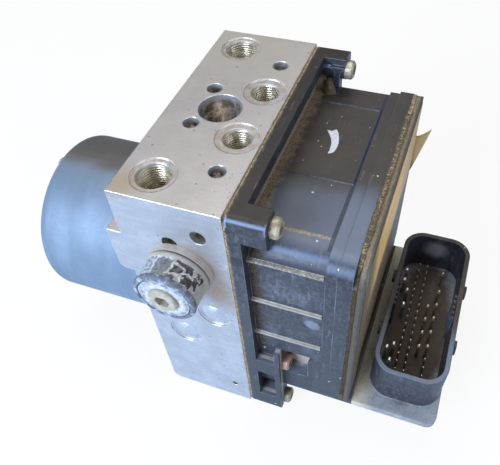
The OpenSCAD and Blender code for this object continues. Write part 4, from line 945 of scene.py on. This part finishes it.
# The top: sand in the channel, laid lighter as painted light under the lip, and on the ledge, a painted
# highlight on the curve over the front and a painted blue-grey sheen on the front stretch of the top
channel_reach = stepped(y, -0.022, -0.038) * -0.0030 + x + wander(320, 0.006, 6.0)
channel_sand_and_light = stepped(x, 0.0226, 0.0231) * stepped(channel_reach, 0.0288, 0.0242)
channel_sand_and_light = channel_sand_and_light * (abs(z - 0.1142) < 0.0046) * (abs(y) < 0.0425)
on_ledge = stepped(abs(y + 0.0359 + wander(500, 0.0016)), 0.0009, 0.0003)
on_ledge = on_ledge * (z > 0.1150) * (x > 0.0355) * (x < 0.0531)
seam_dust = stepped(x, FLANGE_FRONT + 0.9 * MM, FLANGE_FRONT) * film_fine
curve_highlight = stepped(abs(facing_z - 0.62), 0.30, 0.02) * stepped(facing_y, -0.3, -0.6)
painted_sheen = stepped(y + wander(45, 0.016), -0.006, -0.024) * stepped(facing_z, 0.78, 0.99) * behind_flange
painted_sheen = painted_sheen * (z < LUGS_FROM)
back_corner = patch((FLANGE_BACK, 0.0445, LUGS_FROM), (0.0050, 0.0065, 0.0075), 0.5, 350, 0.6)
panel_groove = (abs(x - 0.0526) < 0.0007) * (z > 0.1150)
# The base plate, with painted light on its top, and the inside of the connector's collar, with painted light
# bars on its back wall
in_collar = patch((0.088, 0, PLATE_TOP), (0.0165, 0.045, 0.011), 0.75, 400, 0.25)
painted_light_bars = patch((0.0875, 0.0380, 0.0375), (0.0080, 0.0060, 0.0075), 0.3, 300, 0.5)
plate_zone = (z < PLATE_TOP + 0.0006) * (x > 0.0680)
beside_cover = plate_zone * stepped(x, 0.0790, 0.0690)
skin = layered(
    mixed(frontward, (0.034, 0.036, 0.042), (0.026, 0.031, 0.044)),
    (film_fine, (0.066, 0.074, 0.098), frontward),
    (cloudy, (0.125, 0.150, 0.205), frontward),
    (grit * frontward, (0.018, 0.020, 0.026), 0.45),
    # Painted blue highlight on the curve over the front.
    (curve_highlight, (0.12, 0.20, 0.37), spread(on_bands, 0.8, 0.4)),
    (low_flange, (0.016, 0.020, 0.030), 0.5),
    # Painted dark reflection along the top of the ribs.
    (dark_reflection_over_ribs, (0.013, 0.015, 0.020), 0.75),
    (dusty * spread(film, 0.6, 1.0), (0.072, 0.058, 0.046), 0.80),
    # Painted blue-grey sheen on the front stretch of the top, stronger on the bands.
    (painted_sheen, (0.130, 0.160, 0.225), 0.85),
    (painted_sheen * on_bands, (0.165, 0.205, 0.275), 0.60),
    (dusty * (z > 0.1200), (0.022, 0.019, 0.016), 0.92),
    # Dirt with painted shade in the corner between the flange and the side panel.
    (flange_corner_dirt_and_shade, (0.022, 0.017, 0.012), 0.95),
    (flange_corner_dirt_and_shade * grit, (0.14, 0.105, 0.07), 0.35),
    (seam_dust, (0.24, 0.18, 0.11), 0.7),
    (corners * behind_flange, (0.135, 0.096, 0.060), 0.62),
    (corners * dusty * film_fine, (0.24, 0.18, 0.12), 0.55),
    # Sand in the channel, laid lighter as painted light under the lip.
    (channel_sand_and_light * spread(grit, 0.45, 1.0), (0.48, 0.39, 0.27), 0.9),
    (on_ledge * spread(grit, 0.25, 1.0), (0.44, 0.34, 0.18), 0.9),
    # Grime and painted shadow under the front lug.
    (lug_shadow_and_grime, (0.010, 0.010, 0.011), 0.9),
    (back_corner, (0.52, 0.42, 0.28), 0.9),
    (panel_groove, (0.024, 0.034, 0.066), 0.85),
    # Painted shadow round the screw head.
    (screw_shadow, (0.010, 0.009, 0.008), 0.9),
    (ejector, (0.21, 0.27, 0.37), 0.6),
    # Painted light bars on the collar's back inner wall.
    (painted_light_bars, (0.36, 0.38, 0.44), 0.85),
    # Painted light: the base plate's top is laid pale blue-grey, and paler tan beside the cover.
    (plate_zone, (0.36, 0.40, 0.45), spread(film, 0.62, 0.85)),
    (beside_cover, (0.62, 0.56, 0.43), spread(film_fine, 0.7, 0.95)),
    (plate_zone * film_fine * grit, (0.12, 0.13, 0.14), 0.35),
    (in_collar, (0.085, 0.066, 0.050), 0.92),
    # Painted light on the floor and back wall of the screw recess.
    (recess_painted_light, (0.50, 0.46, 0.42), 0.88),
    (mould_mark, (0.16, 0.075, 0.045), 0.85),
    (scuffs, (0.16, 0.17, 0.19), 0.35),
    # Painted highlights along the rounded edges: bluish on all, brighter in patches on the front.
    (rim, (0.10, 0.13, 0.19), 0.55),
    (rim * highlight_patches * frontward, (0.27, 0.36, 0.55), 0.75),
    (rib_tops * spread(film_fine, 0.7, 1.0), (0.44, 0.42, 0.39), 0.9),
    (rib_tops * (z > 0.1), (0.11, 0.10, 0.085), grit * 0.7),
    # Painted blue highlight along the front lug's top edges.
    (rim * lug_edges * frontward, (0.26, 0.40, 0.68), 0.8),
    (lug_scratches, (0.60, 0.63, 0.68), film_fine * 0.8),
    (specks(210, 0.085, 0.07), (0.72, 0.74, 0.78), 0.9),
    (specks(480, 0.13, 0.05, (0.5, 0.2, 0.1)), (0.34, 0.32, 0.29), 0.7))
dull = either(corners * 0.8, in_collar, flange_corner_dirt_and_shade, lug_shadow_and_grime)
surface(Base_Color=skin, Roughness=dull * 0.40 + spread(film_fine, 0.33, 0.48),
        Normal=relief(grain, 0.02 * MM, Normal=rounded))
dress(black_plastic, "controller_housing")


# Paint mark
# A dab of white paint on the housing's top, put there by hand when the unit was checked, with a few stray
# drops round it. It lies on the plastic as a thin film with a soft edge.
paint_outline = [(35.3, 16.9), (36.2, 17.0), (37.1, 16.7), (37.9, 17.7), (38.7, 18.2), (40.0, 16.0),
                 (40.9, 13.3), (41.5, 10.8), (41.6, 8.3), (41.4, 6.4), (41.0, 5.0), (40.2, 4.2), (39.2, 3.9),
                 (39.5, 5.4), (39.2, 6.9), (39.1, 8.9), (38.6, 10.9), (37.9, 12.7), (37.0, 14.3),
                 (36.0, 15.8)]
# Drops: X, Y and radius, and how far the band under it stands over the housing's top, all in mm
paint_drops = [(33.8, 9.7, 0.28, 0), (35.8, 7.0, 0.24, 0), (34.1, 21.0, 0.2, 0), (39.9, -17.3, 0.42, 0),
               (59.8, -3.9, 0.34, 1.2), (45.2, -12.0, 0.22, 0), (31.6, -2.4, 0.2, 0), (50.6, 23.0, 0.18, 0)]
BODY_TOP, PAINT_THICK, DROP_SIDES = 0.1162, 0.05, 9


def paint_dab(mesh, outline, ground):
    """A thin flat dab: an outline in mm, its top just above the ground under it, its edge down in it."""
    middle = [sum(values) / len(outline) for values in zip(*outline)]
    rings = []
    for share, rise in ((1.0, -0.1), (1.0, 0.5 * PAINT_THICK), (0.93, PAINT_THICK)):
        rings.append([mesh.verts.new(((middle[0] + (px - middle[0]) * share) * MM,
                                      (middle[1] + (py - middle[1]) * share) * MM, ground + rise * MM))
                      for px, py in outline])
    for low_ring, high_ring in zip(rings, rings[1:]):
        for k in range(len(outline)):
            on = (k + 1) % len(outline)
            mesh.faces.new((low_ring[k], low_ring[on], high_ring[on], high_ring[k]))
    mesh.faces.new(rings[-1])
    mesh.faces.new(rings[0][::-1])


dabs = bmesh.new()
paint_dab(dabs, paint_outline, BODY_TOP)
for px, py, r, rise in paint_drops:
    turns_of_drop = [(math.tau * k / DROP_SIDES, 1 + 0.2 * math.sin(3 * k)) for k in range(DROP_SIDES)]
    paint_dab(dabs, [(px + r * math.cos(a) * bulge, py + r * math.sin(a)) for a, bulge in turns_of_drop],
              BODY_TOP + rise * MM)
bmesh.ops.recalc_face_normals(dabs, faces=dabs.faces)
paint_mesh = bpy.data.meshes.new("paint_mark")
dabs.to_mesh(paint_mesh)
dabs.free()
paint_mark = add_object("paint_mark", paint_mesh)
white_paint = new_finish("white_paint")
tone = mottled(900)
surface(Base_Color=mixed(tone, (0.70, 0.74, 0.80), (0.84, 0.87, 0.92)), Roughness=spread(tone, 0.4, 0.6),
        Normal=relief(tone, 0.02 * MM))
paint_mesh.materials.append(white_paint)
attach(paint_mark, "block")


# Inside the controller
# Coils in folded steel yokes slide over the valves, and their pins run into the green circuit board, which
# carries black chips and two blue capacitors.
wound_wire("coil_wire", "valve_coils", (0.58, 0.25, 0.10), 0.5 * MM, "X")
toned_finish("yoke_steel", ("coil_yokes",), (0.42, 0.43, 0.45), (0.62, 0.64, 0.66), 600, (0.25, 0.4), 1.0,
             (3, 0.5, 0.5), 0.01)
toned_finish("tin_plate", ("coil_pins",), (0.52, 0.52, 0.53), (0.76, 0.77, 0.78), 900, (0.22, 0.36), 1.0,
             (0.5, 0.5, 2), 0.008)
toned_finish("chip_case", ("board_chips", "board_capacitors"), (0.018, 0.018, 0.019), (0.04, 0.04, 0.042),
             900, (0.4, 0.55))
board_varnish = new_finish("board_varnish")
tracks = output_of("ShaderNodeTexVoronoi", "Distance", {"distance": "MANHATTAN", "feature": "F1"},
                   Vector=shaded_point(), Scale=260.0)
tracks = stepped(tracks, 0.42, 0.46)
weave = mottled(1500)
skin = layered(mixed(tracks, (0.018, 0.10, 0.04), (0.05, 0.22, 0.09)), (weave, (0.02, 0.08, 0.03), 0.25))
surface(Base_Color=skin, Coat_Weight=0.3, Roughness=spread(weave, 0.3, 0.45),
        Normal=relief(tracks, 0.03 * MM))
dress(board_varnish, "circuit_board")


# Cover and its seal
# A flat lid bonded into the housing's rim with a bead of sealant. Sand covers the bead on top; the lid's
# edge is nearly black with oily dirt.
cover_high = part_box("controller_cover")[1]
seal_low, seal_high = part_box("cover_seal")
lid_plastic = new_finish("lid_plastic")
x, _, z = here()
film = mottled(300, 0.35, 0.68)
grain = mottled(2600)
grit = mottled(1300, 0.36, 0.60, (0.3, 0.3, 0.9))
rim, rounded = worn_and_highlit_edges(0.4 * MM, 900, 0.8)
from_face = cover_high.x - x + wander(300, 0.0012, 6.0)
road_dust = stepped(from_face, 0.6 * MM, 1.2 * MM) * spread(grit, 0.45, 1.0)
skin = layered(
    (0.036, 0.035, 0.034),
    (dust(200, 0.4, 1.0, 0.4), (0.085, 0.078, 0.066), 0.8),
    (film, (0.095, 0.086, 0.070), 0.5),
    (dirt(2.0 * MM, 600, 0.3, 0.75, 0.6), (0.13, 0.10, 0.065), 0.5),
    (rim, (0.20, 0.185, 0.155), 0.6),
    (road_dust * stepped(z, 0.1080, 0.1155), (0.27, 0.205, 0.125), 0.85),
    (road_dust * stepped(z, 0.1155, 0.1080), (0.12, 0.098, 0.064), 0.7))
surface(Base_Color=skin, Roughness=spread(film, 0.45, 0.65), Normal=relief(grain, 0.02 * MM, Normal=rounded))
dress(lid_plastic, "controller_cover")

bead_x = (seal_low.x + seal_high.x) / 2
TURN_R = 9.0 * MM
bead_top = [(bead_x, along * MM, seal_high.z + FROM_TOP) for along in (-38, -20, 0, 20, 34)]
bead_turn = [(bead_x, seal_low.y + TURN_R * (1 - math.sin(math.radians(a))) + 0.3 * MM,
              seal_high.z - TURN_R * (1 - math.cos(math.radians(a)))) for a in (0, 22, 45, 67, 90)]
bead_front = [(bead_x, seal_low.y - FROM_SIDE, up * MM) for up in (108, 90, 70, 50, 30)]
sand_along("cover_sand", ((bead_top, 2.4 * MM), (bead_turn, 1.5 * MM), (bead_front, 1.5 * MM)),
           0.24 * MM, 9.0e6, 11)


# Packed dirt
# Road dirt thrown up by the wheels has packed into the corner under the housing's back top lug and dried
# to a brown lump, a little larger than the corner that holds it.
lump_middle, lump_halves = (29.2, 43.2, 115.8), (3.9, 4.6, 6.3)
lump = bmesh.new()
bmesh.ops.create_icosphere(lump, subdivisions=4, radius=1.0)
for vert in lump.verts:
    bulge = 1 + 0.10 * noise.noise(vert.co * 2.3) + 0.04 * noise.noise(vert.co * 7.0)
    vert.co = Vector([middle + half * part * bulge
                      for middle, half, part in zip(lump_middle, lump_halves, vert.co)]) * MM
lump_mesh = bpy.data.meshes.new("packed_dirt")
lump.to_mesh(lump_mesh)
lump.free()
lump_mesh.shade_smooth()
packed_dirt = add_object("packed_dirt", lump_mesh)
dried_dirt = new_finish("dried_dirt")
tone = mottled(420, 0.36, 0.64)
grit = mottled(1500, 0.36, 0.62)
skin = layered(mixed(tone, (0.13, 0.10, 0.068), (0.26, 0.205, 0.135)), (grit, (0.32, 0.25, 0.16), 0.3))
surface(Base_Color=skin, Roughness=spread(tone, 0.85, 0.97), Normal=relief(grit, 0.12 * MM))
lump_mesh.materials.append(dried_dirt)
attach(packed_dirt, "block")


# Label
# A tan film stuck over the lid's outer face. Its back edge has lifted and curled away, its back part carries
# painted shade, and its lower part is brown with grime.
film_x = cover_high.x + 0.12 * MM
film_front, film_back = -46.8, 46.8
film_foot, film_top, film_corner = 32.5, 116.2, 3.0
FILM_ROW = 1.35
tear_low, tear_high = 76.4, 98.0
tip_out, tip_back, tip_up = 5.7, 3.2, 2.3
ACROSS, UP = 60, round((film_top - film_foot) / FILM_ROW)
TONGUE = 8


def film_back_at(height):
    """Where the film's back edge is at a height: straight, then round the top corner."""
    over = max(0.0, height - (film_top - film_corner))
    return film_back - film_corner + math.sqrt(max(0.0, film_corner ** 2 - over ** 2))


label_points, label_faces = [], []
heights = [film_foot + (film_top - film_foot) * i / UP for i in range(UP + 1)]
for height in heights:
    for j in range(ACROSS + 1):
        across = film_front + (film_back_at(height) - film_front) * j / ACROSS
        wave = 0.05 * (noise.noise(Vector((across, height, 0)) * 0.09) + 0.5)
        label_points.append((film_x + wave * MM, across * MM, height * MM))
for i in range(UP):
    for j in range(ACROSS):
        a = i * (ACROSS + 1) + j
        label_faces.append((a, a + 1, a + ACROSS + 2, a + ACROSS + 1))
# The torn tongue grows out of the back edge between two heights and ends in a curled tip
torn = [i for i, height in enumerate(heights) if tear_low <= height <= tear_high]
tongue_rows = []
for order, i in enumerate(torn):
    share = order / (len(torn) - 1)
    row = [i * (ACROSS + 1) + ACROSS]
    root = Vector(label_points[row[0]])
    for k in range(1, TONGUE + 1):
        t = k / TONGUE
        reach = share ** 0.9 * t
        sag = 0.5 * math.sin(math.pi * t) * share
        row.append(len(label_points))
        lift = Vector((tip_out * reach - sag, tip_back * reach * t, tip_up * reach * t)) * MM
        label_points.append(tuple(root + lift))
    tongue_rows.append(row)
for low_row, high_row in zip(tongue_rows[1:], tongue_rows[2:]):
    for k in range(TONGUE):
        label_faces.append((low_row[k], low_row[k + 1], high_row[k + 1], high_row[k]))
first, second = tongue_rows[0], tongue_rows[1]
label_faces.append((first[0], second[1], second[0]))
label_faces += [(first[0], second[k + 1], second[k]) for k in range(1, TONGUE)]
label_mesh = bpy.data.meshes.new("label_film")
label_mesh.from_pydata(label_points, [], label_faces)
label_trim = bmesh.new()
label_trim.from_mesh(label_mesh)
bmesh.ops.delete(label_trim, geom=[v for v in label_trim.verts if not v.link_faces], context="VERTS")
label_trim.to_mesh(label_mesh)
label_trim.free()
label_mesh.shade_smooth()
label_film = add_object("label_film", label_mesh)
thick = label_film.modifiers.new("film", "SOLIDIFY")
thick.thickness = 0.15 * MM
thick.offset = 0
tan_film = new_finish("tan_film")
x, y, z = here()
low_grime = stepped(z + wander(90, 0.010, 5.0), 0.0860, 0.0765)
front_grime = stepped(y, -0.020, -0.042)
lifted = stepped(x, film_x + 0.5 * MM, film_x + 1.0 * MM)
film = mottled(160, 0.35, 0.68)
fine = mottled(700)
skin = layered(
    mixed(film, (0.78, 0.49, 0.18), (0.90, 0.59, 0.23)),
    (fine, (0.58, 0.38, 0.15), 0.25),
    # Painted shade over the back part of the film.
    (stepped(y, 0.010, 0.030), (0.42, 0.335, 0.20), 0.6),
    (either(low_grime, front_grime), (0.135, 0.120, 0.092), 0.93),
    (lifted, (0.62, 0.50, 0.29), spread(film, 0.55, 0.9)))
surface(Base_Color=skin, Specular_IOR_Level=0.25, Roughness=spread(fine, 0.4, 0.6),
        Normal=relief(fine, 0.02 * MM))
label_mesh.materials.append(tan_film)
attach(label_film, "block")
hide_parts("controller_label")


# Connector pins
# Square pins stand in the collar: rows of thin gold-flashed ones for signals, thicker ones for the coils and
# tinned ones for the supply. Each pin's tip carries a painted highlight.
def pin_finish(name, dressed, dark, light, tip, cover, tip_from, tip_to, metallic, rough):
    """Plating dulled by grime, with a painted highlight at the pin's tip."""
    finish = new_finish(name)
    tone = mottled(900)
    tip_highlight = stepped(here()[2], tip_from, tip_to)
    surface(Base_Color=layered(mixed(tone, dark, light), (tip_highlight, tip, cover)), Metallic=metallic,
            Roughness=spread(tone, *rough))
    dress(finish, *dressed)


pin_finish("gold_flash", ("signal_pins", "load_pins"), (0.20, 0.13, 0.07), (0.34, 0.23, 0.12),
           (0.84, 0.72, 0.52), 0.8, 0.0315, 0.0336, 0.7, (0.28, 0.42))
pin_finish("tinned_pins", ("supply_pins",), (0.34, 0.34, 0.34), (0.46, 0.47, 0.49), (0.93, 0.97, 1.0),
           0.95, 0.0300, 0.0330, 0.8, (0.3, 0.45))
